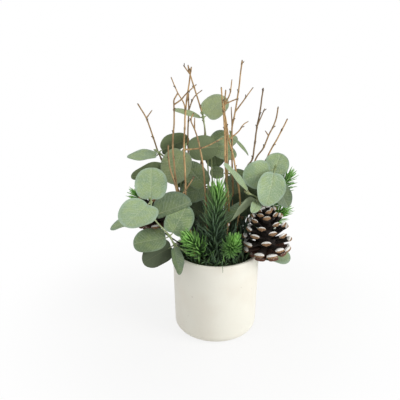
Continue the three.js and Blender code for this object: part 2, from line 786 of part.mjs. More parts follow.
// The plug and the moss have a hole for each leg
function holed(solid) {
  const holes = legs.map(({ entry, radius }) => {
    const { foot, top } = legOf(entry);
    const way = top.clone().sub(foot).normalize();
    foot.addScaledVector(way, -fitGap);
    top.addScaledVector(way, mossDome);
    return toSolid(tube([foot, top], () => holeRadius(radius), wireSides));
  });
  return solid.subtract(joined(holes));
}

parts.pot = makePot();
parts.foam_plug = holed(makeFoam());
parts.moss = holed(makeMoss());

// Finishes, by what a node's name begins with
const finishes = {
  pot: { color: 0xf3efe4, roughness: 0.55 },
  foam_plug: { color: 0x6f7f52, roughness: 0.95 },
  moss: { color: 0x2f4426, roughness: 0.95 },
  stem: { color: 0x8c9a5f, roughness: 0.6 },
  leaves: { color: 0x7f9c78, roughness: 0.7 },
  twig: { color: 0x9a7448, roughness: 0.85 },
  cone_wire: { color: 0x4a4f42, roughness: 0.5 },
  pine_cone: { color: 0x3f2c22, roughness: 0.85 },
  pine_pick: { color: 0x3c7a33, roughness: 0.5 },
};

const arrangement = new THREE.Group();
for (const [name, solid] of Object.entries(parts)) {
  const kind = Object.keys(finishes).find((start) => name.startsWith(start));
  const material = new THREE.MeshStandardMaterial({ metalness: 0, ...finishes[kind] });
  const mesh = new THREE.Mesh(toGeometry(solid), material);
  mesh.name = name;
  arrangement.add(mesh);
}

export default arrangement;
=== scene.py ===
# %% [markdown]
# A potted winter arrangement: sprays of artificial eucalyptus, bare twigs, pine picks and two pine
# cones stand in a foam plug, under moss, in a cream pot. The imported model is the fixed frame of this
# scene. It says where each piece is, and every piece made here, apart from the loose clippings, takes
# the place of one of its solids, so we load it first and only ever measure it.

# %% Load the frame
import math
import random

import bmesh
import bpy
import numpy as np
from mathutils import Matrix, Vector, noise


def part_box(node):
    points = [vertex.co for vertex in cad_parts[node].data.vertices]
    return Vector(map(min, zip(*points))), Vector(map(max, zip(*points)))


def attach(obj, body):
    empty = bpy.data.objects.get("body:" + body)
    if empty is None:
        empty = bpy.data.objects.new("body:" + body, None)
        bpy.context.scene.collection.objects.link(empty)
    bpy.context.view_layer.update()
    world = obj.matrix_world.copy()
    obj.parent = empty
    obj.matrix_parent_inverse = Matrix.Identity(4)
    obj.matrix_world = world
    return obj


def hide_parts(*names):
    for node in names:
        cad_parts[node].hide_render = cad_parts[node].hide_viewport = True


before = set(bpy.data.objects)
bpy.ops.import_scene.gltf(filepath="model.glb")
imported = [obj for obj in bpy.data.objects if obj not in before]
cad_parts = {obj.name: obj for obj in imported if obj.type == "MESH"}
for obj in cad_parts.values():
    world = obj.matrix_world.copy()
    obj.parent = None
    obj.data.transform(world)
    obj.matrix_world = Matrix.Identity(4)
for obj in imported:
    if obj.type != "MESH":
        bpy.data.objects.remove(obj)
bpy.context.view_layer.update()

print("solids in the frame:", len(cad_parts))

# %% [markdown]
# Blender works in metres and the arrangement is thought of in millimetres, so each length below is a
# number times mm. What the solids already say, such as the pot's radius, is measured on their boxes.

# %% Sizes
mm = 0.001
pot_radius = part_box("pot")[1].x
pot_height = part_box("pot")[1].z
plug_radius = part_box("foam_plug")[1].x
plug_foot, plug_top = (corner.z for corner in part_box("foam_plug"))
moss_foot, moss_top = (corner.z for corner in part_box("moss"))

foliage_spread = 100 * mm
foliage_rise = 212 * mm
leg_depth = 42 * mm
leg_fan_share = 0.85
golden_angle = math.radians(137.508)
weld = 0.01 * mm
print(f"pot {2 * pot_radius / mm:.0f} mm wide and {pot_height / mm:.0f} mm high")

# %% [markdown]
# The camera stands a little above the foliage and looks down by some 20 degrees, as a person who
# photographs a small thing on a table would. Its lens was found by fitting the pot's rim and foot.

# %% Camera
def new_object(name, data):
    made = bpy.data.objects.new(name, data)
    bpy.context.scene.collection.objects.link(made)
    return made


camera_data = bpy.data.cameras.new("camera")
camera_data.lens = 49.5
camera_data.sensor_width = 36
camera = new_object("camera", camera_data)
camera.location = (-18.4 * mm, -577.9 * mm, 375.1 * mm)
camera.rotation_euler = (math.radians(69.5), 0, 0)
bpy.context.scene.camera = camera
bpy.context.scene.view_settings.view_transform = "Standard"
print("camera at", [round(value, 3) for value in camera.location])

# %% [markdown]
# A finish in Blender is a graph of nodes. Three small classes let us write it like arithmetic. A Value
# is a number on its way through the graph, so that adding two of them adds a Math node. A Graph has a
# method that makes any other node from its settings and inputs, and a Paint is one material's graph.

# %% Writing graphs
def maths(operation, turned=False):
    """A method that adds a Math node of that kind. Turned puts the other number first."""
    def method(self, other):
        pair = (other, self) if turned else (self, other)
        return self.graph.node("Math", {"operation": operation}, dict(enumerate(pair)))
    return method


class Value:
    """A number in a graph. Sums of it make Math nodes."""

    def __init__(self, graph, socket):
        self.graph = graph
        self.socket = socket

    __add__, __radd__ = maths("ADD"), maths("ADD", True)
    __sub__, __rsub__ = maths("SUBTRACT"), maths("SUBTRACT", True)
    __mul__, __rmul__ = maths("MULTIPLY"), maths("MULTIPLY", True)
    larger = maths("MAXIMUM")
    fold = maths("PINGPONG")

    def __abs__(self):
        return self.graph.node("Math", {"operation": "ABSOLUTE"}, {0: self})

    def wave(self, period):
        """Up and down again once in each period, from 0 to 1."""
        return self.fold(period / 2) * (2 / period)

    def ramp(self, start, end):
        """0 before start and 1 after end, with a soft change between them. It may also fall."""
        inputs = {"Value": self, "From Min": start, "From Max": end}
        return self.graph.node("MapRange", {"interpolation_type": "SMOOTHSTEP"}, inputs)


class Graph:
    """The nodes of a material or of the world."""

    def __init__(self, tree):
        self.nodes = tree.nodes
        self.links = tree.links

    def plug(self, value, socket):
        if isinstance(value, Value):
            self.links.new(value.socket, socket)
        else:
            socket.default_value = value

    def node(self, kind, settings, inputs, output=0):
        made = self.nodes.new("ShaderNode" + kind)
        for setting, value in settings.items():
            setattr(made, setting, value)
        for key, value in inputs.items():
            self.plug(value, made.inputs[key])
        return Value(self, made.outputs[output])

    def rays(self, *kinds):
        """1 for light of any of those kinds and 0 for all other light."""
        any_kind, *others = (self.node("LightPath", {}, {}, f"Is {kind} Ray") for kind in kinds)
        for other in others:
            any_kind = any_kind.larger(other)
        return any_kind


class Paint(Graph):
    """One material, built up from nodes."""

    def __init__(self, name, shine=0.5):
        self.material = bpy.data.materials.new(name)
        self.material.use_nodes = True
        super().__init__(self.material.node_tree)
        self.shader = self.nodes["Principled BSDF"]
        self.plug(shine, self.shader.inputs["Specular IOR Level"])

    def where(self):
        """Object coordinates, which stay with the surface."""
        return self.node("TexCoord", {}, {}, "Object")

    def mark(self, name):
        """A number that the mesh carries at its corners."""
        return self.node("Attribute", {"attribute_name": name}, {}, "Fac")

    def grain(self, size, detail=2, stretch=(1, 1, 1)):
        """Cloudy noise from 0 to 1 whose clouds are about that size, in metres."""
        spots = self.node("Mapping", {}, {"Vector": self.where(), "Scale": stretch})
        return self.node("TexNoise", {}, {"Vector": spots, "Scale": 1 / size, "Detail": detail})

    def cells(self, size):
        """The distance from the edges of small cells, 0 on an edge, for a net of fine lines."""
        inputs = {"Vector": self.where(), "Scale": 1 / size}
        return self.node("TexVoronoi", {"feature": "DISTANCE_TO_EDGE"}, inputs)

    def mix(self, factor, low, high):
        """One colour where the factor is 0 and the other where it is 1."""
        low = low if isinstance(low, Value) else (*low, 1)
        high = high if isinstance(high, Value) else (*high, 1)
        inputs = {0: factor, 6: low, 7: high}
        return self.node("Mix", {"data_type": "RGBA", "clamp_factor": True}, inputs, 2)

    def layers(self, colour, *layers):
        """A colour with others laid over it, each as far as its factor says."""
        for factor, over in layers:
            colour = self.mix(factor, colour, over)
        return colour

    def finish(self, colour, roughness, height=None, depth=0):
        """Plugs in what varies over the surface, and makes height into small relief, depth metres deep."""
        surface = {"Base Color": colour, "Roughness": roughness}
        if height:
            surface["Normal"] = self.node("Bump", {}, {"Height": height, "Distance": depth})
        for name, value in surface.items():
            self.plug(value, self.shader.inputs[name])
        print("finish:", self.material.name)


print("ready to write graphs")

# %% [markdown]
# Soft light comes from three large lamps and the world. The key lamp is on the right, so the pot is
# brightest there and fades to the left. Together they are set so that a pale surface that faces them
# shows about the colour that was written for it.

# %% Lamps and world
def add_lamp(name, place, aim, width, power):
    """A square soft lamp at a place, turned towards what it lights."""
    lamp_data = bpy.data.lights.new(name, "AREA")
    lamp_data.shape = "SQUARE"
    lamp_data.size = width
    lamp_data.energy = power
    lamp = new_object(name, lamp_data)
    lamp.location = place
    lamp.rotation_euler = (Vector(aim) - Vector(place)).to_track_quat("-Z", "Y").to_euler()


unseen_strength = 0.42
middle = (0, 0, pot_height)
add_lamp("key_lamp", (1.0, -0.5, 0.55), middle, 0.7, 10)
add_lamp("fill_lamp", (-0.9, -0.7, 0.8), middle, 0.9, 3.8)
add_lamp("top_lamp", (-0.1, 0.25, 1.3), middle, 0.9, 4)

world = bpy.data.worlds.new("studio")
world.use_nodes = True
bpy.context.scene.world = world
sky = Graph(world.node_tree)
seen = sky.rays("Camera", "Transmission")
strength = sky.node("MapRange", {}, {"Value": seen, "To Min": unseen_strength})
background = sky.nodes["Background"].inputs
sky.plug((1, 1, 1, 1), background["Color"])
sky.plug(strength, background["Strength"])
print("lamps:", len(bpy.data.lights))

# %% [markdown]
# The floor is plain and pale. What the camera sees of it is nearly all white light of its own, with a
# fifth of lit surface, so that the pot's shadow stays as a faint grey. Further out it is all white,
# and runs into the background with no horizon.

# %% Floor
floor_width = 8
near_white_share = 0.8
bpy.ops.mesh.primitive_plane_add(size=floor_width)
floor = bpy.context.active_object
floor.name = "floor"
floor_paint = Paint("floor", shine=0.2)
floor_paint.finish((0.86, 0.86, 0.85, 1), 0.9)
distance = floor_paint.node("VectorMath", {"operation": "LENGTH"}, {0: floor_paint.where()}, "Value")
seen = floor_paint.rays("Camera", "Glossy", "Transmission")
white_share = seen * (near_white_share + (1 - near_white_share) * distance.ramp(0.12, 0.3))
glow = floor_paint.node("Emission", {}, {"Color": (1, 1, 1, 1), "Strength": 1})
lit = Value(floor_paint, floor_paint.shader.outputs[0])
floor_look = floor_paint.node("MixShader", {}, {0: white_share, 1: lit, 2: glow})
floor_paint.plug(floor_look, floor_paint.nodes["Material Output"].inputs["Surface"])
floor.data.materials.append(floor_paint.material)
print("floor", floor_width, "m wide")

# %% [markdown]
# The pot is glazed stoneware with a dull cream glaze. It is nearly one colour, with wide warm and cool
# clouds, a few pinholes and a faint unevenness that breaks up the highlight.

# %% Glaze
glaze = Paint("cream_glaze")
cloud = glaze.grain(40 * mm).ramp(0.35, 0.65)
speck = glaze.grain(3 * mm, 1).ramp(0.24, 0.2)
cream = glaze.layers(
    (0.80, 0.765, 0.67), (cloud, (0.83, 0.81, 0.72)), (speck * 0.5, (0.45, 0.40, 0.32)),
)
glaze.finish(cream, 0.38 + 0.12 * cloud, glaze.grain(14 * mm, 3) - speck * 0.4, 0.25 * mm)

# %% [markdown]
# The plug is a block of green floral foam, crumbly where it was cut. The moss on it is green on its
# tufts and nearly black between them, which is painted shade in the hollows. Both are hidden in shade,
# but the foam shows when the plug is lifted out.

# %% Foam and moss
foam_paint = Paint("floral_foam", shine=0.2)
crumb = foam_paint.grain(1.6 * mm, 4)
foam_green = foam_paint.mix(crumb.ramp(0.35, 0.65), (0.07, 0.10, 0.035), (0.17, 0.21, 0.09))
foam_paint.finish(foam_green, 0.95, crumb, 1.2 * mm)

moss_paint = Paint("moss", shine=0.2)
tuft = moss_paint.grain(2.5 * mm, 5)
# painted shade: nearly black in the hollows between the tufts, where the bump is low
moss_green_and_shade = moss_paint.mix(tuft.ramp(0.4, 0.62), (0.008, 0.014, 0.008), (0.05, 0.07, 0.025))
moss_paint.finish(moss_green_and_shade, 0.95, tuft, 2 * mm)

# %% [markdown]
# A eucalyptus stem is a pale yellow-green that browns in places. The stalks and the small buds at the
# tip of a spray share its finish.

# %% Stem
stem_paint = Paint("green_stem")
streak = stem_paint.grain(5 * mm, 3, (1, 1, 0.4))
browned = stem_paint.grain(11 * mm).ramp(0.56, 0.7) * 0.5
stem_green = stem_paint.layers(
    (0.24, 0.30, 0.13), (streak.ramp(0.4, 0.62), (0.37, 0.43, 0.23)), (browned, (0.22, 0.16, 0.07)),
)
stem_paint.finish(stem_green, 0.5 + 0.15 * streak, streak, 0.3 * mm)

# %% [markdown]
# The upper side of a leaf is printed cloth: a green middle with yellow-green patches, side veins that
# run forwards from a pale midrib, a fine net between them, and a grey-green margin. The mesh carries
# where each corner lies on its leaf, so the veins follow every leaf however it is turned: along and
# across, in shares of its length, and edge, how far in from the margin. Warm and a tone differ from
# blade to blade. The tone is partly the blade's own paleness and partly painted light, and a blade
# whose tone is below 0 gets painted deep shade and is nearly black.

# %% Upper side of a leaf
def leaf_veins(paint, softness):
    """The side veins and the midrib of a leaf, each 1 on the line and 0 away from it."""
    along = paint.mark("along")
    aside = abs(paint.mark("across"))
    wobble = paint.grain(4.5 * mm, 3) * 0.11
    phase = along - aside * 0.7 + wobble
    veins = phase.wave(0.1).ramp(0.26 + softness, 0)
    fading = paint.grain(3 * mm, 3).ramp(0.36, 0.6)
    midrib = aside.ramp(0.016 + softness * 0.03, 0.004)
    return veins * fading * along.ramp(0.02, 0.12), midrib


leaf_top = Paint("leaf_upper_side")
veins, midrib = leaf_veins(leaf_top, 0.1)
patch = leaf_top.grain(9 * mm, 3).ramp(0.4, 0.62)
mottle = leaf_top.grain(1.6 * mm, 3)
margin = (leaf_top.mark("edge") + leaf_top.grain(3.5 * mm, 3) * 0.3).ramp(0.36, 0.16)
pale = leaf_top.mark("pale")
warm = leaf_top.mark("warm")
net = leaf_top.cells(1.9 * mm).ramp(0.16, 0)
light = leaf_top.mix(patch, (0.26, 0.375, 0.215), (0.30, 0.405, 0.185))
rim = leaf_top.mix(pale.ramp(0, 1), (0.20, 0.29, 0.205), (0.33, 0.44, 0.335))
green = leaf_top.layers(
    (0.145, 0.22, 0.105),
    (patch, (0.215, 0.30, 0.115)),
    # paler on blades whose tone is high: partly their own print, partly painted light
    (pale.ramp(0, 1) * 0.8, light),
    (mottle.ramp(0.45, 0.62) * 0.28, (0.36, 0.45, 0.26)),
    (net * (0.16 + 0.2 * pale.ramp(0, 1)), (0.46, 0.55, 0.38)),
    (veins * 0.55, (0.47, 0.56, 0.38)),
    (margin * 0.72, rim),
    (midrib * 0.6, (0.44, 0.52, 0.31)),
    (warm * 0.6, (0.27, 0.27, 0.11)),
    # painted deep shade: a blade whose tone is below 0 goes nearly black
    (pale.ramp(0, -1) * 0.85, (0.018, 0.034, 0.018)),
)
leaf_top.finish(green, 0.48 + 0.2 * mottle, veins * -0.5 - midrib * 0.8 + mottle * 0.5, 0.3 * mm)

# %% [markdown]
# The underside has no print. It is a smooth olive cloth on which the veins stand up a little. Its
# tone is the blade's too: paler partly by painted light, and nearly black with painted deep shade
# below 0.

# %% Underside of a leaf
leaf_under = Paint("leaf_underside")
veins, midrib = leaf_veins(leaf_under, 0.25)
weave = leaf_under.grain(2.2 * mm, 3)
pale = leaf_under.mark("pale")
olive = leaf_under.layers(
    (0.135, 0.18, 0.08),
    (leaf_under.grain(12 * mm, 2), (0.20, 0.255, 0.13)),
    # paler on blades whose tone is high: partly their own colour, partly painted light
    (pale.ramp(0, 1) * 0.7, (0.32, 0.385, 0.245)),
    (veins * 0.12, (0.30, 0.35, 0.18)),
    (midrib * 0.5, (0.36, 0.41, 0.22)),
    # painted deep shade: a blade whose tone is below 0 goes nearly black
    (pale.ramp(0, -1) * 0.85, (0.02, 0.032, 0.014)),
)
leaf_under.finish(olive, 0.6 + 0.15 * weave, veins * 0.4 + midrib + weave * 0.4, 0.25 * mm)

# %% [markdown]
# A twig is tan bark with fine lines along it, and some twigs are greyer than others. Its nodes, buds
# and tips are a dark grey-brown, which the mesh marks as dark.

# %% Bark
bark = Paint("tan_bark")
line = bark.grain(2.5 * mm, 4, (1, 1, 0.25))
tan = bark.layers(
    (0.37, 0.225, 0.095),
    (line.ramp(0.35, 0.65), (0.64, 0.42, 0.20)),
    (bark.grain(14 * mm).ramp(0.5, 0.66) * 0.5, (0.30, 0.18, 0.08)),
    (bark.mark("grey") * 0.8, (0.15, 0.11, 0.075)),
    (bark.mark("dark"), (0.085, 0.06, 0.04)),
)
bark.finish(tan, 0.7 + 0.2 * line, line, 0.35 * mm)

# %% [markdown]
# Pine needles are soft moulded plastic: nearly black green at the root, lime where the growth is
# fresh, and with a painted highlight along the ridge of each needle. The mesh marks how fresh each
# needle is, how far a corner is towards the tip, and the ridge that carries the painted highlight.

# %% Needles
needle_paint = Paint("pine_needle")
tip = needle_paint.mark("tip")
fresh = needle_paint.mark("fresh")
tint = needle_paint.grain(7 * mm)
old = needle_paint.mix(tip.ramp(0.1, 1), (0.026, 0.048, 0.032), (0.10, 0.165, 0.105))
young = needle_paint.mix(tip.ramp(0, 0.7), (0.03, 0.12, 0.02), (0.30, 0.64, 0.13))
needle_green = needle_paint.layers(
    old,
    (fresh, young),
    # painted highlight along the ridge of each needle
    (needle_paint.mark("ridge") * 0.3, (0.20, 0.34, 0.15)),
    (tint.ramp(0.45, 0.7) * 0.25, (0.10, 0.13, 0.03)),
)
needle_paint.finish(needle_green, 0.4 + 0.2 * tint)

# %% [markdown]
# A cone's scales are nearly black, which is partly their dark wood and partly painted shade between
# the scales, with a tan face at their end. The face's upper ridge and sides are frosted with white
# paint, brushed on roughly. The scales under the cone show their red-brown side.

# %% Cone
cone_paint = Paint("pine_cone", shine=0.3)
fibre = cone_paint.grain(1.8 * mm, 4)
rough = cone_paint.grain(1.1 * mm, 4) - 0.5
face = cone_paint.mix(fibre.ramp(0.3, 0.7), (0.17, 0.09, 0.045), (0.36, 0.225, 0.12))
frost = (cone_paint.mark("frost") + rough * 0.9).ramp(0.4, 0.62)
wood_and_shade = cone_paint.layers(
    # nearly black: the scales' dark wood, darkened further as painted shade between them
    (0.010, 0.008, 0.007),
    (fibre.ramp(0.35, 0.7), (0.035, 0.024, 0.018)),
    (cone_paint.mark("low") * 0.9, (0.15, 0.068, 0.044)),
    ((cone_paint.mark("face") + rough * 0.5).ramp(0.35, 0.65), face),
    (frost, (0.80, 0.79, 0.75)),
)
cone_paint.finish(wood_and_shade, 0.7 + 0.25 * fibre, fibre + frost * 0.6, 0.4 * mm)

wire_paint = Paint("painted_wire")
wear = wire_paint.grain(4 * mm, 3)
wire_green = wire_paint.mix(wear.ramp(0.4, 0.7), (0.03, 0.045, 0.02), (0.07, 0.08, 0.05))
wire_paint.finish(wire_green, 0.4 + 0.3 * wear)

# %% [markdown]
# An operator acts on whatever is selected, so each piece starts with nothing selected. In edit mode
# we pick faces or edges by where their centre is, as one would click on them. A finished piece gets
# its name and finish, rides on a body of the frame, and stands for the solids that it replaces.

# %% Working on a piece
def start_piece(piece=None):
    """Selects nothing, or only that piece."""
    bpy.ops.object.select_all(action="DESELECT")
    if piece:
        piece.select_set(True)
        bpy.context.view_layer.objects.active = piece


def edit_all():
    bpy.ops.object.mode_set(mode="EDIT")
    bpy.ops.mesh.select_all(action="SELECT")


def turn_outwards():
    """Lets every face look outwards and leaves edit mode."""
    bpy.ops.mesh.select_all(action="SELECT")
    bpy.ops.mesh.normals_make_consistent(inside=False)
    bpy.ops.object.mode_set(mode="OBJECT")


def upright_cylinder(sides, radius, foot, top):
    """Starts a piece as a cylinder on the pot's axis, in edit mode."""
    start_piece()
    middle = (0, 0, (foot + top) / 2)
    bpy.ops.mesh.primitive_cylinder_add(vertices=sides, radius=radius, depth=top - foot, location=middle)
    bpy.ops.object.transform_apply(location=True, rotation=False, scale=False)
    edit_all()
    return bpy.context.active_object


def pick(piece, kind, test):
    """Selects the faces or edges of the piece in edit mode whose centre passes the test."""
    bpy.ops.mesh.select_all(action="DESELECT")
    bpy.ops.mesh.select_mode(type={"faces": "FACE", "edges": "EDGE"}[kind])
    mesh = bmesh.from_edit_mesh(piece.data)
    for part in getattr(mesh, kind):
        centre = sum((corner.co for corner in part.verts), Vector()) / len(part.verts)
        if test(centre):
            part.select_set(True)
    bmesh.update_edit_mesh(piece.data)


def move_corners(piece, mover):
    """Moves every corner to where mover says, for shapes that no operator makes."""
    for corner in piece.data.vertices:
        corner.co = mover(corner.co)


def settle(piece, name, slot, body, *nodes, finishes=(), sharp=60):
    """The last of a piece. An edge is shaded sharp where its faces meet at more than that angle."""
    bpy.ops.object.shade_smooth_by_angle(angle=math.radians(sharp))
    piece.name = name
    piece.data.name = name
    for finish in finishes:
        piece.data.materials.append(finish.material)
    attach(piece, body)
    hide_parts(*nodes)
    piece.select_set(False)
    print(f"{name}: {len(piece.data.polygons)} faces")


# %% [markdown]
# The pot is a cylinder of clay with a thin wall. It starts as a cylinder: its top is inset by the wall
# and pushed down to make the room inside, its foot is drawn in a little, and bevels give the wide
# round at the foot and the soft lip.

# %% Pot
pot_wall = 4.5 * mm
pot_floor = 6 * mm
pot_taper = 2.2 * mm
foot_round = 10 * mm
lip_round = 2.1 * mm
nearly = 0.1 * mm
foot_radius = pot_radius - pot_taper
bore_radius = foot_radius - pot_wall

pot = upright_cylinder(sides=96, radius=pot_radius, foot=0, top=pot_height)
pick(pot, "faces", lambda centre: centre.z < nearly)
bpy.ops.transform.resize(value=(foot_radius / pot_radius, foot_radius / pot_radius, 1))
pick(pot, "faces", lambda centre: centre.z > pot_height - nearly)
bpy.ops.mesh.inset(thickness=pot_wall)
pick(pot, "faces", lambda centre: centre.z > pot_height - nearly and centre.xy.length < nearly)
down = {"value": (0, 0, pot_floor - pot_height)}
bpy.ops.mesh.extrude_region_move(TRANSFORM_OT_translate=down)
narrower = bore_radius / (pot_radius - pot_wall)
bpy.ops.transform.resize(value=(narrower, narrower, 1))
pick(pot, "edges", lambda centre: centre.z < nearly or abs(centre.z - pot_floor) < nearly)
bpy.ops.mesh.bevel(offset=foot_round, segments=10, affect="EDGES", clamp_overlap=True)
pick(pot, "edges", lambda centre: centre.z > pot_height - nearly)
bpy.ops.mesh.bevel(offset=lip_round, segments=6, affect="EDGES")
bpy.ops.object.mode_set(mode="OBJECT")
settle(pot, "pot_body", "pot", "pot", "pot", finishes=[glaze], sharp=40)

# %% [markdown]
# The foam plug is a cylinder, cut by hand with a knife, so its side is cut into small faces and each
# corner is pressed in by a little noise. It never grows, because it has to slide out of the pot.

# %% Foam plug
foam_dent = 0.7 * mm
dent_size = 6 * mm
foam_layers = 13

foam = upright_cylinder(sides=48, radius=plug_radius, foot=plug_foot, top=plug_top)
pick(foam, "edges", lambda centre: centre.z < plug_foot + nearly)
bpy.ops.mesh.bevel(offset=foot_round, segments=3, affect="EDGES")
for height in np.linspace(plug_foot + foot_round, plug_top, foam_layers + 1)[1:-1]:
    bpy.ops.mesh.select_all(action="SELECT")
    bpy.ops.mesh.bisect(plane_co=(0, 0, height), plane_no=(0, 0, 1))
bpy.ops.object.mode_set(mode="OBJECT")


def dented(corner):
    """A corner of the side pressed in, between the plug's two ends."""
    if corner.xy.length > plug_radius / 2:
        inward = foam_dent * (0.5 + 0.5 * noise.noise(corner / dent_size))
        corner = corner * (1 - inward / plug_radius)
    return Vector((corner.x, corner.y, min(max(corner.z, plug_foot), plug_top)))


move_corners(foam, dented)
settle(foam, "foam_block", "foam", "insert", "foam_plug", finishes=[foam_paint], sharp=50)

# %% [markdown]
# The moss is a low dome over the foam. A disc is inset again and again, which gives it rings of small
# faces, and noise then raises the rings into tufts. A skirt is pulled down to the foam at the end.

# %% Moss
moss_dome = 5 * mm
tuft_height = 2.4 * mm
tuft_size = 5 * mm
moss_rings = 20
moss_edge = moss_top - moss_dome


def moss_height(x, y):
    """The height of the moss over a place, with its tufts."""
    share = math.hypot(x, y) / plug_radius
    tufts = noise.noise(Vector((x, y, 0)) / tuft_size) * tuft_height
    return moss_edge + moss_dome * (1 - share ** 2) + tufts * (1 - share ** 6)


start_piece()
bpy.ops.mesh.primitive_circle_add(vertices=90, radius=plug_radius, fill_type="NGON")
moss = bpy.context.active_object
edit_all()
for ring in range(moss_rings):
    bpy.ops.mesh.inset(thickness=plug_radius / (moss_rings + 1))
bpy.ops.mesh.poke()
bpy.ops.object.mode_set(mode="OBJECT")
move_corners(moss, lambda corner: Vector((corner.x, corner.y, moss_height(corner.x, corner.y))))
edit_all()
pick(moss, "edges", lambda centre: centre.xy.length > plug_radius - nearly)
bpy.ops.mesh.extrude_region_move(TRANSFORM_OT_translate={"value": (0, 0, moss_foot - moss_edge)})
bpy.ops.mesh.edge_face_add()
turn_outwards()
settle(moss, "moss_bed", "moss", "insert", "moss", finishes=[moss_paint])

# %% [markdown]
# Stems, twigs and wires are pushed into the foam on a slant and then bend through a few places in the
# air. The curve through those places is a centripetal Catmull-Rom, which passes through each of them
# and never loops. Places are shares of the foliage's spread and rise, entries of the plug's radius.

# %% Ways through the air
def unit(vector):
    return vector / np.linalg.norm(vector)


def rising(value, start, end):
    """0 up to start and 1 from end on."""
    return np.clip((value - start) / (end - start), 0, 1)


def place(shares):
    x, y, z = shares
    return np.array([x * foliage_spread, y * foliage_spread, pot_height + z * foliage_rise])


def direction(heading, rise):
    """A unit vector from a heading, 0 to the right and 90 to the back, and a rise above the level."""
    level = math.cos(math.radians(rise))
    x = level * math.cos(math.radians(heading))
    y = level * math.sin(math.radians(heading))
    return np.array([x, y, math.sin(math.radians(rise))])


def smooth_way(points, steps):
    ends = [2 * points[0] - points[1], *points, 2 * points[-1] - points[-2]]
    way = [points[0]]
    for before, start, end, after in zip(ends, ends[1:], ends[2:], ends[3:]):
        first, middle, last = (math.sqrt(np.linalg.norm(b - a))
                               for a, b in ((before, start), (start, end), (end, after)))
        leave = (start - before) / first - (end - before) / (first + middle) + (end - start) / middle
        reach = (end - start) / middle - (after - start) / (middle + last) + (after - end) / last
        leave = leave * middle
        reach = reach * middle
        for t in np.arange(1, steps + 1) / steps:
            bend = (3 * (end - start) - 2 * leave - reach) * t ** 2
            way.append(start + leave * t + bend + (2 * (start - end) + leave + reach) * t ** 3)
    return way


def way_of(entry, shares, steps):
    """The foot of a leg in the foam, then the way from the moss through its places."""
    top = np.array([entry[0] * plug_radius, entry[1] * plug_radius, moss_top])
    foot = np.array([top[0] * leg_fan_share, top[1] * leg_fan_share, moss_top - leg_depth])
    return [foot, *smooth_way([top, *map(place, shares)], steps)]


def evenly(way, step):
    """Points along the way about one step apart, and how far along each is."""
    way = np.array(way)
    lengths = np.concatenate([[0], np.cumsum(np.linalg.norm(np.diff(way, axis=0), axis=1))])
    far = np.linspace(0, lengths[-1], max(3, round(lengths[-1] / step)))
    return np.stack([np.interp(far, lengths, way[:, axis]) for axis in range(3)], axis=1), far


print("the leg of a pick is", round(leg_depth / mm), "mm deep in the foam")

# %% [markdown]
# Anything round and thin is drawn as a curve with a thickness, whose radius can differ at each point,
# and is then turned into a mesh. A Shape keeps such a mesh's corners and faces, so that it can be
# copied and placed many times. A Cluster gathers shapes into one mesh, with marks at their corners.

# %% Shapes and clusters
class Shape:
    """The corners, faces and finish numbers of a small mesh, taken from an object that then goes."""

    def __init__(self, piece):
        mesh = piece.data
        self.points = np.array([corner.co for corner in mesh.vertices])
        self.faces = [tuple(face.vertices) for face in mesh.polygons]
        self.finishes = [face.material_index for face in mesh.polygons]
        bpy.data.objects.remove(piece)
        bpy.data.meshes.remove(mesh)


def rounds(runs, resolution):
    """Round runs as one shape: each run is its points and the radius at each of them."""
    curve = bpy.data.curves.new("runs", "CURVE")
    curve.dimensions = "3D"
    curve.bevel_depth = 1
    curve.bevel_resolution = resolution
    curve.use_fill_caps = True
    for points, radii in runs:
        spline = curve.splines.new("POLY")
        spline.points.add(len(points) - 1)
        spline.points.foreach_set("co", np.insert(np.array(points), 3, 1, axis=1).ravel())
        spline.points.foreach_set("radius", radii)
    start_piece(new_object("runs", curve))
    bpy.ops.object.convert(target="MESH")
    return Shape(bpy.context.active_object)


def set_at(points, origin, along, up):
    """Points whose x runs along one direction and whose z leans towards up, moved to the origin."""
    along = unit(along)
    side = unit(np.cross(up, along))
    return origin + points @ np.array([along, side, np.cross(along, side)])


class Cluster:
    """Shapes gathered into one mesh. Each mark is a number at every corner, which the finish reads."""

    def __init__(self, *marks):
        self.points = []
        self.faces = []
        self.finishes = []
        self.marks = {mark: [] for mark in marks}
        self.count = 0

    def add(self, shape, points, finish=0, **marks):
        self.faces += [tuple(corner + self.count for corner in face) for face in shape.faces]
        self.finishes += [finish + number for number in shape.finishes]
        self.points.append(points)
        self.count += len(points)
        for mark, values in self.marks.items():
            values.append(np.broadcast_to(marks.get(mark, 0), len(points)))

    def add_runs(self, runs, resolution, **marks):
        shape = rounds(runs, resolution)
        self.add(shape, shape.points, **marks)

    def build(self, name, slot, *nodes, finishes):
        mesh = bpy.data.meshes.new(name)
        mesh.from_pydata(np.concatenate(self.points), [], self.faces)
        piece = new_object(name, mesh)
        start_piece(piece)
        for mark, values in self.marks.items():
            attribute = mesh.attributes.new(mark, "FLOAT", "POINT")
            attribute.data.foreach_set("value", np.concatenate(values).astype(np.float32))
        for finish in finishes:
            mesh.materials.append(finish.material)
        mesh.polygons.foreach_set("material_index", self.finishes)
        edit_all()
        bpy.ops.mesh.remove_doubles(threshold=weld)
        turn_outwards()
        settle(piece, name, slot, "insert", *nodes)


near_steepness = 1.6


def nearness(points, places, reach):
    """1 near the places and 0 beyond the reach from all of them."""
    gaps = np.linalg.norm(points[:, None] - np.array(places)[None], axis=2).min(axis=1)
    return np.clip(near_steepness * (1 - gaps / reach), 0, 1)


print("ready to make shapes")

# %% [markdown]
# Ten stems carry the eucalyptus leaves. Each has its entry, its way and its rows of leaves. A row names
# its hub on the way, and for each blade where it points, where its upper side looks, and its length,
# width, droop and cup as shares. They repeat what the solids have, so each leaf lies where its solid is.

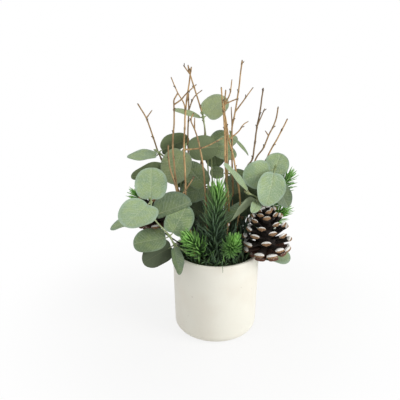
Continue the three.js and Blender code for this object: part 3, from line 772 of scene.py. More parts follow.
# %% Places of the eucalyptus
stem_shares = {
    "left_front": ((-0.66, -0.5), [
        (-0.46, -0.36, 0.1), (-0.51, -0.4, 0.155), (-0.68, -0.44, 0.27), (-0.69, -0.48, 0.352),
    ], [
        [0, (-163, -22, 110, -5, 0.9, 0.9, 0.1, 0.1), (-58, -65, -40, 25, 0.76, 0.65, 0, 0.2)],
        [1, (20, 60, -80, 15, 0.88, 0.95, 0, 0.1), (-174, -6, -90, 66, 0.92, 1, 0.1, 0.1)],
        [2, (7, 19, -100, 15, 1, 1, 0.1, 0.1), (180, -9, -90, 87, 1.1, 0.7, 0.1, 0.1)],
        [3, (90, 66, -90, 20, 0.86, 1.1, 0, 0.1), (-125, -16, -90, 52, 0.96, 1.12, 0.05, 0.1)],
    ]),
    "upper_left": ((-0.62, 0.02), [
        (-0.38, 0.02, 0.19), (-0.43, 0.08, 0.31), (-0.475, 0.13, 0.435), (-0.55, 0.165, 0.48),
        (-0.645, 0.2, 0.51),
    ], [
        [2, (-178, -6, 90, 40, 1.15, 0.8, 0.1, 0.1), (20, -72, -90, 10, 0.62, 0.72, 0, 0.1)],
        [4, (180, -2, -90, 80, 0.85, 0.9, 0, 0.1), (20, 24, 90, 40, 0.86, 1.1, 0.1, 0.1)],
    ]),
    "centre_left": ((-0.42, 0.06), [
        (-0.3, 0.04, 0.07), (-0.4, 0.09, 0.24), (-0.39, 0.1, 0.4), (-0.35, 0.08, 0.545),
    ], [
        [3, (-152, -64, -100, 5, 1, 0.95, 0, 0.1), (0, 6, 90, 0, 0.84, 0.95, 0, 0.1)],
    ]),
    "tall": ((-0.14, 0.14), [
        (-0.12, 0.06, 0.19), (-0.09, 0.09, 0.34), (-0.1, 0.14, 0.485), (-0.12, 0.14, 0.61),
        (-0.15, 0.11, 0.71),
    ], [
        [0, (160, 25, -90, 20, 0.7, 0.9, 0, 0.1), (-110, -60, -90, 20, 0.5, 0.8, 0, 0.1)],
        [1, (180, 50, -90, 20, 0.9, 0.8, 0, 0.1), (-165, -15, -90, 30, 0.7, 1.1, 0, 0.1)],
        [4, (35, 36, -90, 45, 0.8, 1, 0, 0.1), (176, 22, -90, 78, 0.76, 0.42, 0.12, 0.1)],
    ]),
    "fork": ((0.02, 0.3), [
        (-0.03, 0.14, 0.27), (-0.05, 0.14, 0.41), (-0.06, 0.14, 0.54),
    ], [
        [2,
         (18, 22, -90, 30, 0.74, 0.6, 0, 0.1), (-6, -16, -90, 20, 0.64, 0.75, 0, 0.1),
         (60, -65, -90, 20, 0.7, 0.9, 0, 0.1)],
    ]),
    "back_middle": ((0.26, 0.46), [
        (0.12, 0.2, 0.21), (0.13, 0.24, 0.39), (0.16, 0.26, 0.59),
    ], [
        [0,
         (150, 25, -90, 30, 0.8, 1, 0.1, 0.1), (40, 30, -90, 30, 0.8, 1, 0.1, 0.1),
         (20, -50, -90, 30, 0.8, 1, 0, 0.1)],
        [1,
         (180, 5, -90, 20, 0.4, 1, 0, 0.1), (0, -35, -90, 20, 0.85, 0.8, 0.1, 0.1),
         (-45, -50, -90, 20, 0.75, 0.9, 0, 0.1)],
        [2, (-21, -44, -30, 40, 0.65, 0.3, 0, 0.1), (165, -30, -90, 40, 0.7, 1, 0.1, 0.1)],
    ]),
    "right": ((0.62, 0.1), [
        (0.38, 0.16, 0.12), (0.5, 0.1, 0.26), (0.61, -0.04, 0.41), (0.62, -0.13, 0.468),
    ], [
        [2,
         (60, 45, -90, 40, 0.72, 1.05, 0, 0.1), (-33, -56, -60, 10, 0.85, 0.7, 0, 0.1),
         (160, -50, -90, 20, 0.85, 0.9, 0, 0.1)],
        [3, (-173, -19, -95, 12, 0.8, 1.1, 0.1, 0.1), (-119, -67, -80, 20, 0.95, 0.95, 0.1, 0.1)],
    ]),
    "low_right": ((0.88, -0.06), [
        (0.395, -0.02, 0.033), (0.405, 0.01, 0.12), (0.45, 0.01, 0.215), (0.455, -0.1, 0.3),
        (0.405, -0.19, 0.335), (0.335, -0.26, 0.36),
    ], [
        [0, (-24, -8, -80, 76, 1.15, 1, 0.15, 0)],
        [3,
         (-155, -22, -90, 40, 1, 0.65, 0.1, 0.3), (-100, 9, 0, 60, 0.66, 0.5, 0.25, 0.1),
         (150, -30, -90, 20, 0.85, 0.9, 0, 0.1)],
        [5, (186, 50, -15, 38, 1.02, 0.45, 0, 0.15)],
    ]),
    "back_left": ((-0.46, 0.5), [
        (-0.28, 0.3, 0.03), (-0.44, 0.46, 0.08), (-0.56, 0.6, 0.1),
    ], [
        [1, (15, 15, -90, 15, 1, 1.1, 0.1, 0.1), (-160, 5, -90, 70, 0.9, 1, 0.1, 0.1)],
        [2, (110, 20, -90, 60, 0.9, 1, 0.1, 0.1), (170, -10, -90, 60, 0.9, 1, 0.1, 0.1)],
    ]),
    "back_right": ((0.54, 0.66), [
        (0.34, 0.36, 0.1), (0.44, 0.5, 0.2),
    ], [
        [1, (25, -5, 90, 50, 0.9, 1, 0.1, 0.1), (125, 10, 90, 60, 0.95, 1, 0.1, 0.1)],
    ]),
}
print("stems:", len(stem_shares))

# %% [markdown]
# Every blade has its own tone: how pale it is, which is partly its own colour and partly painted
# light, where a number below 0 is painted shade that makes it darker, and how far it turns to warm
# olive. The numbers go in the order of the leaves above. Leaves that are not named are a middle green.

# %% Tones of the blades
tone_shares = {
    "left_front": [
        [(-0.75, 0), (-0.6, 0)], [(0.2, 0), (0.3, 0.1)], [(-0.5, 0), (0.6, 0)], [(0.8, 0), (1, 0)],
    ],
    "upper_left": [[(-0.05, 0.2), (-0.5, 0.2)], [(0.85, 0), (0, 0.3)]],
    "centre_left": [[(0.35, 0.6), (0, 0.6)]],
    "tall": [[(-0.7, 0.2), (-0.6, 0.2)], [(0, 0.2), (-0.4, 0)], [(0.85, 0.6), (0.9, 0.5)]],
    "fork": [[(0.5, 0.3), (0.4, 0.3), (-0.5, 0.1)]],
    "back_middle": [
        [(-0.5, 0.1), (-0.4, 0), (-0.6, 0)], [(0.1, 0.2), (-0.2, 0), (-0.6, 0.1)], [(0.4, 0.2), (0.2, 0.1)],
    ],
    "right": [[(0.6, 0), (-0.5, 0), (-0.6, 0)], [(1, 0), (0.85, 0)]],
    "low_right": [[(0.9, 0)], [(0.1, 0), (0.7, 0), (-0.8, 0)], [(0.9, 0.1)]],
    "back_left": [[(-0.35, 0), (0.2, 0)]],
}
middle_tone = (0.3, 0)
print("stems with tones of their own:", len(tone_shares))

# %% [markdown]
# The stems are thin curves that swell a little where a pair of leaves leaves them. Each ends in a small
# cluster of pale closed buds, which are short runs that swell and come to a point.

# %% Stems
stem_radius = 1.1 * mm
collar_height = 3 * mm
swelling_share = 0.35
stem_tip_share = 0.7
run_step = 2 * mm
buds = 4
bud_reach = 4.5 * mm
bud_girth = 1.15 * mm
bud_swelling_shares = np.array([0.5, 0.9, 1, 0.75, 0.2])
dice = random.Random(7)

stem_ways = {}
for name, (entry, places, rows) in stem_shares.items():
    way = way_of(entry, places, steps=8)
    ends = way[-1] + unit(way[-1] - way[-2]) * collar_height
    points, far = evenly([*way, ends], run_step)
    hubs = [place(places[row[0]]) for row in rows]
    swell = nearness(points, hubs, 2 * collar_height)
    radii = stem_radius * (1 - (1 - stem_tip_share) * far / far[-1] + swelling_share * swell)
    cluster = Cluster()
    runs = [(points, radii)]
    ahead = unit(way[-1] - way[-2])
    for bud in range(buds):
        turn = golden_angle * bud + dice.random()
        spread = dice.uniform(0.3, 0.9)
        aim = unit(ahead + spread * direction(math.degrees(turn), dice.uniform(-20, 40)))
        reach = bud_reach * dice.uniform(0.6, 1.1)
        stops = [ends + aim * reach * share for share in np.linspace(0, 1, len(bud_swelling_shares))]
        runs.append((stops, bud_girth * reach / bud_reach * bud_swelling_shares))
    cluster.add_runs(runs, resolution=3)
    cluster.build(f"green_stem_{name}", "stem", f"stem_{name}", finishes=[stem_paint])
    stem_ways[name] = way

# %% [markdown]
# All the blades are one grid of small faces, given its thickness by a Solidify modifier whose second
# finish is the underside. Each blade is a copy whose corners are moved: rows of the grid run from the
# midrib to the margin, so the two lobes at the base, the blunt point, the droop, the cupped sides and
# the wavy margin all come from where a corner is on its grid. No two blades are quite alike.

# %% The blade that all leaves copy
leaf_length = 38 * mm
leaf_width = 36 * mm
blade_thickness = 0.45 * mm
petiole_length = 1.6 * mm
petiole_radius = 0.7 * mm
collar_reach = 2.52 * mm
groove_depth = 0.35 * mm
groove_width = 1.3 * mm
bluntness = 0.55
wave_share = 0.07
nod_share = 0.06
fold_tuck_share = 0.8
lip_tuck_share = 0.85
twist_limit = 0.2

start_piece()
bpy.ops.mesh.primitive_grid_add(x_subdivisions=24, y_subdivisions=18, size=2)
grid = bpy.context.active_object
for finish in (leaf_top, leaf_under):
    grid.data.materials.append(finish.material)
thicken = grid.modifiers.new("thickness", "SOLIDIFY")
thicken.thickness = 1
thicken.offset = -1
thicken.material_offset = 1
thicken.material_offset_rim = 1
bpy.ops.object.modifier_apply(modifier="thickness")
blade = Shape(grid)
print("one blade:", len(blade.faces), "faces")


def blade_outline(turn, length, half, lobe, point):
    """The margin of a blade, turn from 0 at its base to pi at its tip."""
    share = (1 - np.cos(turn)) / 2
    back = lobe * np.sin(np.minimum(2 * turn, math.pi))
    x = length * (share - back + 0.05 * point * share ** 8)
    return x, half * np.sin(turn) ** 0.85 * (1 - point * share ** 5)


def blade_corners(length, half, droop, cup, fold, lip, roll, dice):
    """The corners of one blade from its base along x, and its marks."""
    grid_along, grid_across, under = blade.points.T
    lobe = dice.uniform(0.05, 0.12)
    point = dice.uniform(0.1, 0.5) * bluntness
    turn = math.pi * (grid_along + 1) / 2
    edge_x, edge_y = blade_outline(turn, length, half, lobe, point)
    middle_x = length * (1 - np.cos(turn)) / 2
    x = middle_x + (edge_x - middle_x) * abs(grid_across)
    y = edge_y * grid_across
    rim_x, rim_y = blade_outline(np.linspace(0, math.pi, 40), length, half, lobe, point)
    edge = np.hypot(x[:, None] - rim_x, abs(y)[:, None] - rim_y).min(axis=1) / half
    waves = np.sin(2 * math.pi * (dice.uniform(1, 1.6) * x / length + dice.random() + 0.4 * (y > 0)))
    z = cup * half * (y / half) ** 2 - droop * length * (x / length) ** 2
    z += wave_share * half * waves * abs(grid_across) ** 3 * np.sin(turn)
    z -= dice.uniform(0, nod_share) * length * (x / length).clip(0, 1) ** 4
    z -= groove_depth * np.exp(-(y / groove_width) ** 2)
    z += under * blade_thickness * (1 - 0.5 * grid_across ** 2)
    if fold:
        past = (-y - fold * half).clip(0)
        y = y + past * fold_tuck_share
        z = z - past
    lifted = (y - lip * half).clip(0) if lip else 0 * y
    y = y - lifted * lip_tuck_share
    z = z + lifted
    twist = dice.uniform(-twist_limit, twist_limit) * x / length + roll * (1 - x / length).clip(0, 1)
    side = y * np.cos(twist) - z * np.sin(twist)
    height = y * np.sin(twist) + z * np.cos(twist)
    marks = {"along": x / length, "across": y / length, "edge": edge, "lip": lifted / half}
    return np.stack([x, side, height], axis=1), marks


# %% [markdown]
# At each hub the pair of blades and their stalks make one piece. A stalk leaves the stem sideways,
# bends into the blade and runs on under it as the root of its midrib. One blade is folded back along
# its lower side. Another is rolled about its midrib towards its base, and its near margin turns up
# into a lip that is painted paler, which is painted light on the raised margin.

# %% Leaves
leaf_marks = ("along", "across", "edge", "pale", "warm")
fold_shares = {("left_front", 3, 0): 0.2}
lip_shares = {("low_right", 2, 0): 0.35}
rolls = {("low_right", 2, 0): 1.3}
lip_paleness = 6
stalk_foot_share = 1.2
stalk_tip_share = 0.3
stalk_sunk_share = 0.8
stalk_end_shares = (0.06, 0.2)
collar_shares = [(-0.5, 1.05), (-0.25, 1.5), (0, 1.75), (0.25, 1.6), (0.5, 1.1)]
dice = random.Random(11)
for name, (_, places, rows) in stem_shares.items():
    tones = tone_shares.get(name, [])
    for number, (hub_index, *blades) in enumerate(rows, 1):
        hub = place(places[hub_index])
        way = stem_ways[name]
        at = min(range(len(way)), key=lambda i: np.linalg.norm(way[i] - hub))
        along = unit(way[min(at + 4, len(way) - 1)] - way[at - 4])
        cluster = Cluster(*leaf_marks)
        runs = []
        for order, (heading, rise, face_heading, face_rise, *shares) in enumerate(blades):
            length_share, width_share, droop, cup = shares
            out = direction(heading, rise)
            up = direction(face_heading, face_rise)
            up = unit(up - out * up.dot(out))
            away = unit(out - along * out.dot(along))
            elbow = hub + away * (collar_reach + petiole_radius)
            base = elbow + out * petiole_length
            length = leaf_length * length_share
            half = leaf_width * length_share * width_share / 2
            which = (name, number, order)
            bends = (fold_shares.get(which, 0), lip_shares.get(which, 0), rolls.get(which, 0))
            points, marks = blade_corners(length, half, droop, cup, *bends, dice)
            pale, warm = tones[number - 1][order] if number <= len(tones) else middle_tone
            # the upturned lip is painted paler through the tone: painted light on the raised margin
            pale = pale + dice.uniform(-0.06, 0.06) + lip_paleness * marks["lip"]
            cluster.add(blade, set_at(points, base, out, up), pale=pale, warm=warm, **marks)
            under = -up * (petiole_radius * stalk_sunk_share)
            ends = [base + under + out * (length * share) for share in stalk_end_shares]
            stalk = smooth_way([hub, elbow, base + under, *ends], steps=4)
            shrinking = np.linspace(stalk_foot_share, stalk_tip_share, len(stalk))
            runs.append((stalk, petiole_radius * shrinking))
        collar = [hub + along * collar_height * rise for rise, swell in collar_shares]
        runs.append((collar, [stem_radius * swell for rise, swell in collar_shares]))
        cluster.add_runs(runs, resolution=2, finish=2)
        node = f"leaves_{name}_{number}"
        cluster.build(f"eucalyptus_{node}", "leaf", node, finishes=[leaf_top, leaf_under, stem_paint])

# %% [markdown]
# Fourteen bare twigs stand in the foliage. Each row is its entry, its way, and its side shoots, which
# name the place on the way that they leave from.

# %% Places of the twigs
twig_shares = [
    ((-0.52, 0.2), [
        (-0.35, 0.14, 0.2), (-0.42, 0.22, 0.28), (-0.55, 0.27, 0.385), (-0.66, 0.28, 0.505),
        (-0.78, 0.26, 0.69), (-0.87, 0.24, 0.77),
    ], [[4, (-0.71, 0.24, 0.735)]]),
    ((-0.66, -0.24), [
        (-0.36, -0.17, 0.23), (-0.39, -0.18, 0.29), (-0.44, -0.2, 0.41), (-0.46, -0.2, 0.525),
        (-0.47, -0.19, 0.595), (-0.45, -0.18, 0.725), (-0.45, -0.18, 0.8), (-0.45, -0.17, 0.82),
        (-0.41, -0.14, 0.853),
    ], [[6, (-0.37, -0.2, 0.83), (-0.32, -0.24, 0.858), (-0.22, -0.26, 0.903)]]),
    ((-0.54, -0.36), [
        (-0.33, -0.2, 0.2), (-0.34, -0.21, 0.28), (-0.34, -0.24, 0.44), (-0.35, -0.25, 0.585),
        (-0.34, -0.24, 0.705), (-0.32, -0.22, 0.825), (-0.3, -0.21, 0.88), (-0.27, -0.2, 0.98),
    ], [
        [4, (-0.34, -0.24, 0.8), (-0.41, -0.29, 0.87), (-0.47, -0.3, 0.94)],
        [3, (-0.19, -0.31, 0.6), (-0.13, -0.33, 0.61), (0.05, -0.37, 0.66)],
    ]),
    ((-0.34, 0.3), [
        (-0.27, 0.2, 0.2), (-0.31, 0.24, 0.42), (-0.32, 0.26, 0.58), (-0.31, 0.27, 0.73),
        (-0.31, 0.28, 0.82),
    ], [[3, (-0.25, 0.25, 0.8), (-0.16, 0.22, 0.84)]]),
    ((-0.2, -0.24), [
        (-0.11, -0.14, 0.22), (-0.14, -0.16, 0.44), (-0.16, -0.16, 0.515), (-0.18, -0.16, 0.57),
        (-0.2, -0.15, 0.615), (-0.24, -0.13, 0.675), (-0.28, -0.12, 0.72), (-0.25, -0.11, 0.753),
    ], [[5, (-0.24, -0.09, 0.728)]]),
    ((-0.22, 0.46), [
        (-0.2, 0.28, 0.2), (-0.19, 0.3, 0.38), (-0.13, 0.24, 0.6), (-0.15, 0.18, 0.7), (-0.22, 0.15, 0.82),
        (-0.29, 0.13, 0.925), (-0.31, 0.13, 0.97),
    ], [[5, (-0.36, 0.13, 0.97)]]),
    ((0.24, -0.34), [
        (0.13, -0.16, 0.28), (0.09, -0.18, 0.46), (0.08, -0.18, 0.575), (0.07, -0.18, 0.69),
        (0.05, -0.18, 0.79), (0.03, -0.18, 0.885),
    ], []),
    ((0.2, 0.02), [
        (0.11, 0, 0.25), (0.11, -0.04, 0.45), (0.1, -0.08, 0.61), (0.08, -0.09, 0.715),
        (0.07, -0.1, 0.795), (0.08, -0.1, 0.865),
    ], [[4, (0.12, -0.12, 0.843), (0.14, -0.13, 0.918)], [4, (0.12, -0.12, 0.808), (0.21, -0.15, 0.828)]]),
    ((0.42, -0.02), [
        (0.26, -0.1, 0.27), (0.21, -0.12, 0.44), (0.16, -0.12, 0.555), (0.12, -0.12, 0.62),
        (0.1, -0.14, 0.68), (0.07, -0.24, 0.755), (0.04, -0.26, 0.8),
    ], [[3, (0.22, -0.14, 0.665), (0.27, -0.14, 0.7), (0.32, -0.14, 0.715)]]),
    ((0.32, 0.16), [
        (0.19, 0.06, 0.24), (0.17, 0.04, 0.47), (0.16, 0.02, 0.63), (0.16, 0.02, 0.67),
        (0.19, 0.02, 0.745), (0.22, 0.02, 0.85), (0.24, 0.02, 0.955), (0.25, 0.02, 1),
    ], [[4, (0.37, 0, 0.87)], [3, (0.15, 0.06, 0.768)]]),
    ((0.5, 0.18), [
        (0.31, 0.02, 0.25), (0.33, -0.03, 0.465), (0.38, -0.05, 0.505), (0.4, -0.05, 0.58),
        (0.42, -0.05, 0.68), (0.44, -0.05, 0.735), (0.47, -0.05, 0.87),
    ], [[4, (0.49, -0.08, 0.773)]]),
    ((0.5, 0.42), [
        (0.36, 0.12, 0.235), (0.43, 0.08, 0.49), (0.51, 0.06, 0.555), (0.56, 0.06, 0.62),
        (0.6, 0.06, 0.66), (0.63, 0.06, 0.7), (0.65, 0.06, 0.77),
    ], [[3, (0.52, 0.04, 0.648)]]),
    ((0.66, 0.44), [
        (0.45, 0.22, 0.205), (0.51, 0.16, 0.43), (0.56, 0.14, 0.485), (0.59, 0.14, 0.52),
        (0.66, 0.14, 0.585), (0.77, 0.14, 0.7),
    ], []),
    ((-0.54, -0.66), [
        (-0.31, -0.32, 0.2), (-0.41, -0.32, 0.335), (-0.45, -0.32, 0.425), (-0.49, -0.31, 0.49),
        (-0.51, -0.3, 0.555), (-0.51, -0.29, 0.615),
    ], [[1, (-0.24, -0.36, 0.465)]]),
]
print("twigs:", len(twig_shares))

# %% [markdown]
# A twig thickens at each of its nodes, where a short spur with a dark bud stands out, now on one side
# and now on the other. It narrows to a dark tip. The corners near nodes, buds and tips are marked dark
# for the bark's finish.

# %% Twigs
twig_foot_radius = 1.3 * mm
twig_tip_radius = 0.75 * mm
shoot_foot_radius = 0.85 * mm
shoot_tip_radius = 0.5 * mm
node_gap = 22 * mm
node_reach = 1.6 * mm
node_swelling = 0.3
tip_round_share = 0.5
bud_length = 2.7 * mm
bud_radius = 0.5 * mm
bud_shares = [(0, 0, 1), (0.45, 0, 0.85), (0.75, 0.1, 1.1), (1, 0.2, 0.3)]
twig_step = 1.3 * mm
wobble = 0.25 * mm
wobble_size = 9 * mm
noise_gap = 7
twig_bare = 45 * mm
shoot_bare = 2 * mm
grey_shares = [0.3, 0.35, 0.1, 0.5, 0.3, 0.2, 0, 0.1, 0, 0.3, 0.9, 0.6, 0, 0.4]
dice = random.Random(23)


def branch(way, foot_radius, tip_radius, bare_until):
    """A run with nodes, its buds as runs of their own, and the dark places on them."""
    points, far = evenly(way, twig_step)
    gaps = [Vector((axis * noise_gap, 0, 0)) for axis in range(3)]
    shift = [[noise.noise(Vector(point) / wobble_size + gap) for gap in gaps] for point in points]
    points = points + wobble * np.array(shift)
    radii = foot_radius + (tip_radius - foot_radius) * far / far[-1]
    runs = []
    dark = [points[-1]]
    side = dice.choice((-1, 1))
    at = bare_until + node_gap * dice.uniform(0.2, 1)
    while at < far[-1] - twig_step:
        index = int(np.searchsorted(far, at))
        point = points[index]
        ahead = unit(points[min(index + 1, len(points) - 1)] - points[index - 1])
        across = unit(np.cross(ahead, (dice.uniform(-0.5, 0.5), -1, 0)))
        out = unit(ahead + across * side * dice.uniform(0.7, 1.1))
        reach = bud_length * dice.uniform(0.6, 1.2)
        stops = [point + reach * (away * out + bend * ahead) for away, bend, wide in bud_shares]
        runs.append((stops, [bud_radius * wide for away, bend, wide in bud_shares]))
        dark += [point, *stops[2:]]
        side = -side
        at += node_gap * dice.uniform(0.7, 1.4)
    radii = radii * (1 + node_swelling * nearness(points, dark, node_reach))
    radii[-1] *= tip_round_share
    return [(points, radii), *runs], dark


for number, (entry, places, shoots) in enumerate(twig_shares, 1):
    way = way_of(entry, places, steps=6)
    runs, dark = branch(way, twig_foot_radius, twig_tip_radius, leg_depth + twig_bare)
    for start, *shoot in shoots:
        stops = [place(shares) for shares in (places[start], *shoot)]
        more, spots = branch(smooth_way(stops, steps=5), shoot_foot_radius, shoot_tip_radius, shoot_bare)
        runs += more
        dark += spots
    shape = rounds(runs, 2)
    cluster = Cluster("dark", "grey")
    near = nearness(shape.points, dark, node_reach)
    cluster.add(shape, shape.points, dark=near, grey=grey_shares[number - 1])
    cluster.build(f"bare_twig_{number}", "twig", f"twig_{number}", finishes=[bark])

# %% [markdown]
# Two pine cones are wired to picks. Each has its wire's entry and way, its foot, how it leans, its
# size and how many scales it has.

# %% Places of the cones
cone_shares = {
    "right": {
        "entry": (0.72, -0.36), "way": [(0.43, -0.18, 0.026), (0.52, -0.2, 0.03)],
        "foot": (0.575, -0.2, 0.034), "lean": (180, 84), "size": 1, "scales": 36,
    },
    "left": {
        "entry": (-0.8, -0.08), "way": [(-0.56, -0.06, 0.09), (-0.66, -0.09, 0.14)],
        "foot": (-0.68, -0.1, 0.165), "lean": (120, 80), "size": 0.85, "scales": 28,
    },
}
print("cones:", len(cone_shares))

# %% [markdown]
# One scale is drawn out of a ring of corners, station by station, as it grew: thin at the core, wide
# and thick at its end, where it makes a kite-shaped face with a ridge across it. Subdivision rounds it
# off. The marks say where the face is and where the brush left its frost.

# %% One scale of a cone
def drawn_out(sides, stations, levels=0):
    """A shape drawn out along x. A station is how far it is, its rise, half width and half height."""
    start_piece()
    far, rise, wide, high = stations[0]
    upright = (0, math.pi / 2, 0)
    bpy.ops.mesh.primitive_circle_add(vertices=sides, radius=1, fill_type="NGON", rotation=upright)
    piece = bpy.context.active_object
    bpy.ops.object.transform_apply(location=False, rotation=True, scale=False)
    edit_all()
    bpy.ops.transform.resize(value=(1, wide, high))
    bpy.ops.transform.translate(value=(far, 0, rise))
    for next_far, next_rise, next_wide, next_high in stations[1:]:
        step = (next_far - far, 0, next_rise - rise)
        bpy.ops.mesh.extrude_region_move(TRANSFORM_OT_translate={"value": step})
        swelling = (1, next_wide / wide, next_high / high)
        bpy.ops.transform.resize(value=swelling, center_override=(next_far, 0, next_rise))
        far, rise, wide, high = next_far, next_rise, next_wide, next_high
    turn_outwards()
    if levels:
        smoother = piece.modifiers.new("smoother", "SUBSURF")
        smoother.levels = levels
        smoother.render_levels = levels
        bpy.ops.object.modifier_apply(modifier="smoother")
    return Shape(piece)


scale_stations = [
    (0.02, 0, 0.2, 0.14), (0.3, 0, 0.3, 0.15), (0.6, 0.01, 0.42, 0.18), (0.8, 0.03, 0.5, 0.26),
    (0.9, 0.06, 0.53, 0.36), (0.965, 0.06, 0.5, 0.38), (1, 0.03, 0.36, 0.25), (1.01, 0, 0.12, 0.06),
]
side_frost_share = 0.8
scale = drawn_out(sides=10, stations=scale_stations, levels=1)
reach, aside, rise = scale.points.T
below = rising(-rise, 0, 0.3) * rising(reach, 0.6, 0.9)
scale.points[:, 1] = aside * (1 - 0.75 * below)
scale.points[:, 0] = reach - 0.05 * below + 0.03 * np.exp(-(rise / 0.08) ** 2) * (reach > 0.95)
scale_face = rising(reach, 0.86, 0.92)
ridge_frost = rising(rise, 0.1, 0.24) * rising(reach, 0.8, 0.9)
side_frost = side_frost_share * rising(abs(aside), 0.36, 0.46) * scale_face * rising(rise, 0.02, 0.12)
scale_frost = np.maximum(ridge_frost, side_frost)
print("one scale:", len(scale.faces), "faces")

# %% [markdown]
# The scales sit round the core by the golden angle, as they do on every real cone: each is turned by
# 137.5 degrees from the one before. The first stand out level and the last close up round the tip.
# Below them hangs an even skirt of shorter scales, red-brown and with little frost.

# %% Cones and their wires
cone_height = 50 * mm
cone_radius = 28 * mm
core_radius = 10 * mm
scale_width = 13 * mm
scale_thickness = 9 * mm
scale_crowding = 1.35
scale_closing = 1.15
scale_narrowing_share = 0.42
scale_thinning_share = 0.4
first_scale_share = 0.04
scales_run_share = 0.66
lowest_share = 0.12
skirt_scales = 9
skirt_droop = 5
skirt_reach_share = 0.86
skirt_frost = 0.42
wire_radius = 0.8 * mm
wire_end_share = 0.1
core_shares = [(0, 0.4), (0.04, 0.85), (0.25, 1), (0.5, 0.8), (0.7, 0.55), (0.95, 0.1)]
lift_places = [0, 0.12, 0.3, 1]
lifts = [-6, 0, 18, 66]
reach_places = [0, 0.2, 0.5, 0.8, 1]
reach_shares = [0.92, 1, 0.8, 0.5, 0.28]
dice = random.Random(5)

for name, cone in cone_shares.items():
    size = cone["size"]
    foot = place(cone["foot"])
    axis = direction(*cone["lean"])
    lean = np.array(Vector((0, 0, 1)).rotation_difference(Vector(axis)).to_matrix())
    cluster = Cluster("face", "frost", "low")
    heights = [foot + axis * cone_height * size * up for up, out in core_shares]
    cluster.add_runs([(heights, [core_radius * size * out for up, out in core_shares])], resolution=4)
    count = round(cone["scales"] * scale_crowding)
    for number in range(-skirt_scales, count):
        share = (max(number, 0) / (count - 1)) ** scale_closing
        lift = np.interp(share, lift_places, lifts) + dice.uniform(-3, 3)
        if number < 0:
            lift -= skirt_droop
        reach = np.interp(share, reach_places, reach_shares) * cone_radius * size
        length = reach / max(math.cos(math.radians(lift)), 0.5) * dice.uniform(0.96, 1.02)
        length *= skirt_reach_share if number < 0 else 1
        wide = scale_width * size * (1 - scale_narrowing_share * share) * dice.uniform(0.92, 1.06)
        high = scale_thickness * size * (1 - scale_thinning_share * share)
        turn = golden_angle * number if number >= 0 else 2 * math.pi * number / skirt_scales
        along = lean @ direction(math.degrees(turn), lift)
        up = lean @ direction(math.degrees(turn), lift + 90)
        rise = cone_height * size * (first_scale_share + scales_run_share * share)
        points = scale.points * (length, wide, high)
        low = max(0, 1 - share / lowest_share) * (1 if number < 0 else 0.5)
        frost = scale_frost * (skirt_frost if number < 0 else 1)
        marks = {"face": scale_face * (1 - 0.7 * low), "frost": frost, "low": low}
        cluster.add(scale, set_at(points, foot + axis * rise, along, up), **marks)
    cluster.build(f"brushed_cone_{name}", "cone", f"pine_cone_{name}", finishes=[cone_paint])
    way = way_of(cone["entry"], cone["way"], steps=6)
    stops = [*way, foot, foot + axis * cone_height * size * wire_end_share]
    cluster = Cluster()
    cluster.add_runs([(stops, [wire_radius] * len(stops))], resolution=3)
    cluster.build(f"wire_of_cone_{name}", "wire", f"cone_wire_{name}", finishes=[wire_paint])

# %% [markdown]
# Seven pine picks fill the middle and the rim. Each has its entry and its way, how many needles it has
# and on which run of the way, and how long they are. Fresh says how lime it is at its foot and at its
# tip and how fast that changes, and lean how far the needles lean there and how late they close up.
# Curl bends them towards the tip, and upward makes those that point up longer.

# %% Places of the pine picks
pine_shares = {
    "centre": {
        "entry": (-0.04, -0.56),
        "way": [(-0.03, -0.25, 0.13), (-0.01, -0.24, 0.24), (0.01, -0.22, 0.34), (0.02, -0.2, 0.4)],
        "needles": 197, "run": (0.3, 0.94), "reach": 1.3, "fresh": (0.04, 1.2, 4),
        "lean": (66, 42, 2), "curl": 0.3,
    },
    "front": {
        "entry": (0.26, -0.66), "way": [(0.16, -0.38, 0.08), (0.19, -0.46, 0.14)],
        "needles": 170, "run": (0.66, 0.985), "reach": 0.663, "fresh": (0.42, 1, 1),
        "lean": (104, 10, 1), "curl": 0.3, "upward": 0.42,
    },
    "left_front": {
        "entry": (-0.36, -0.56), "way": [(-0.24, -0.32, 0.09), (-0.31, -0.38, 0.14)],
        "needles": 115, "run": (0.5, 0.985), "reach": 1.0875, "fresh": (0.6, 0.9, 1),
        "lean": (66, 26, 2), "curl": 0.34,
    },
    "far_right": {
        "entry": (0.72, 0.3), "way": [(0.5, 0.14, 0.14), (0.68, 0.18, 0.28), (0.83, 0.2, 0.38)],
        "needles": 192, "run": (0.6, 0.985), "reach": 1.015, "fresh": (0.3, 0.8, 2),
        "lean": (84, 30, 2), "curl": 0.2,
    },
    "behind_cone": {
        "entry": (0.84, 0.1), "way": [(0.52, 0.1, 0.08), (0.65, 0.1, 0.15), (0.76, 0.08, 0.2)],
        "needles": 117, "run": (0.55, 0.985), "reach": 1.14, "fresh": (0.45, 1, 1),
        "lean": (72, 26, 2), "curl": 0.2,
    },
    "left_back": {
        "entry": (-0.8, 0.22), "way": [(-0.55, 0.14, 0.12), (-0.77, 0.16, 0.23), (-0.9, 0.1, 0.29)],
        "needles": 120, "run": (0.6, 0.985), "reach": 1.17, "fresh": (0.7, 1, 1),
        "lean": (64, 24, 2), "curl": 0.15,
    },
    "back": {
        "entry": (0.1, 0.8), "way": [(0.06, 0.5, 0.1), (0.04, 0.62, 0.22)],
        "needles": 128, "run": (0.5, 0.985), "reach": 0.8, "fresh": (0.05, 0.5, 3),
        "lean": (68, 26, 3), "curl": 0.2,
    },
}
print("picks:", len(pine_shares))

# %% [markdown]
# One needle is drawn out of a ring of four corners and has only a few faces, because there are about
# a thousand of them on the picks alone. Each copy is bent as it is planted, so that it curves up
# towards the tip of its pick as moulded needles do.

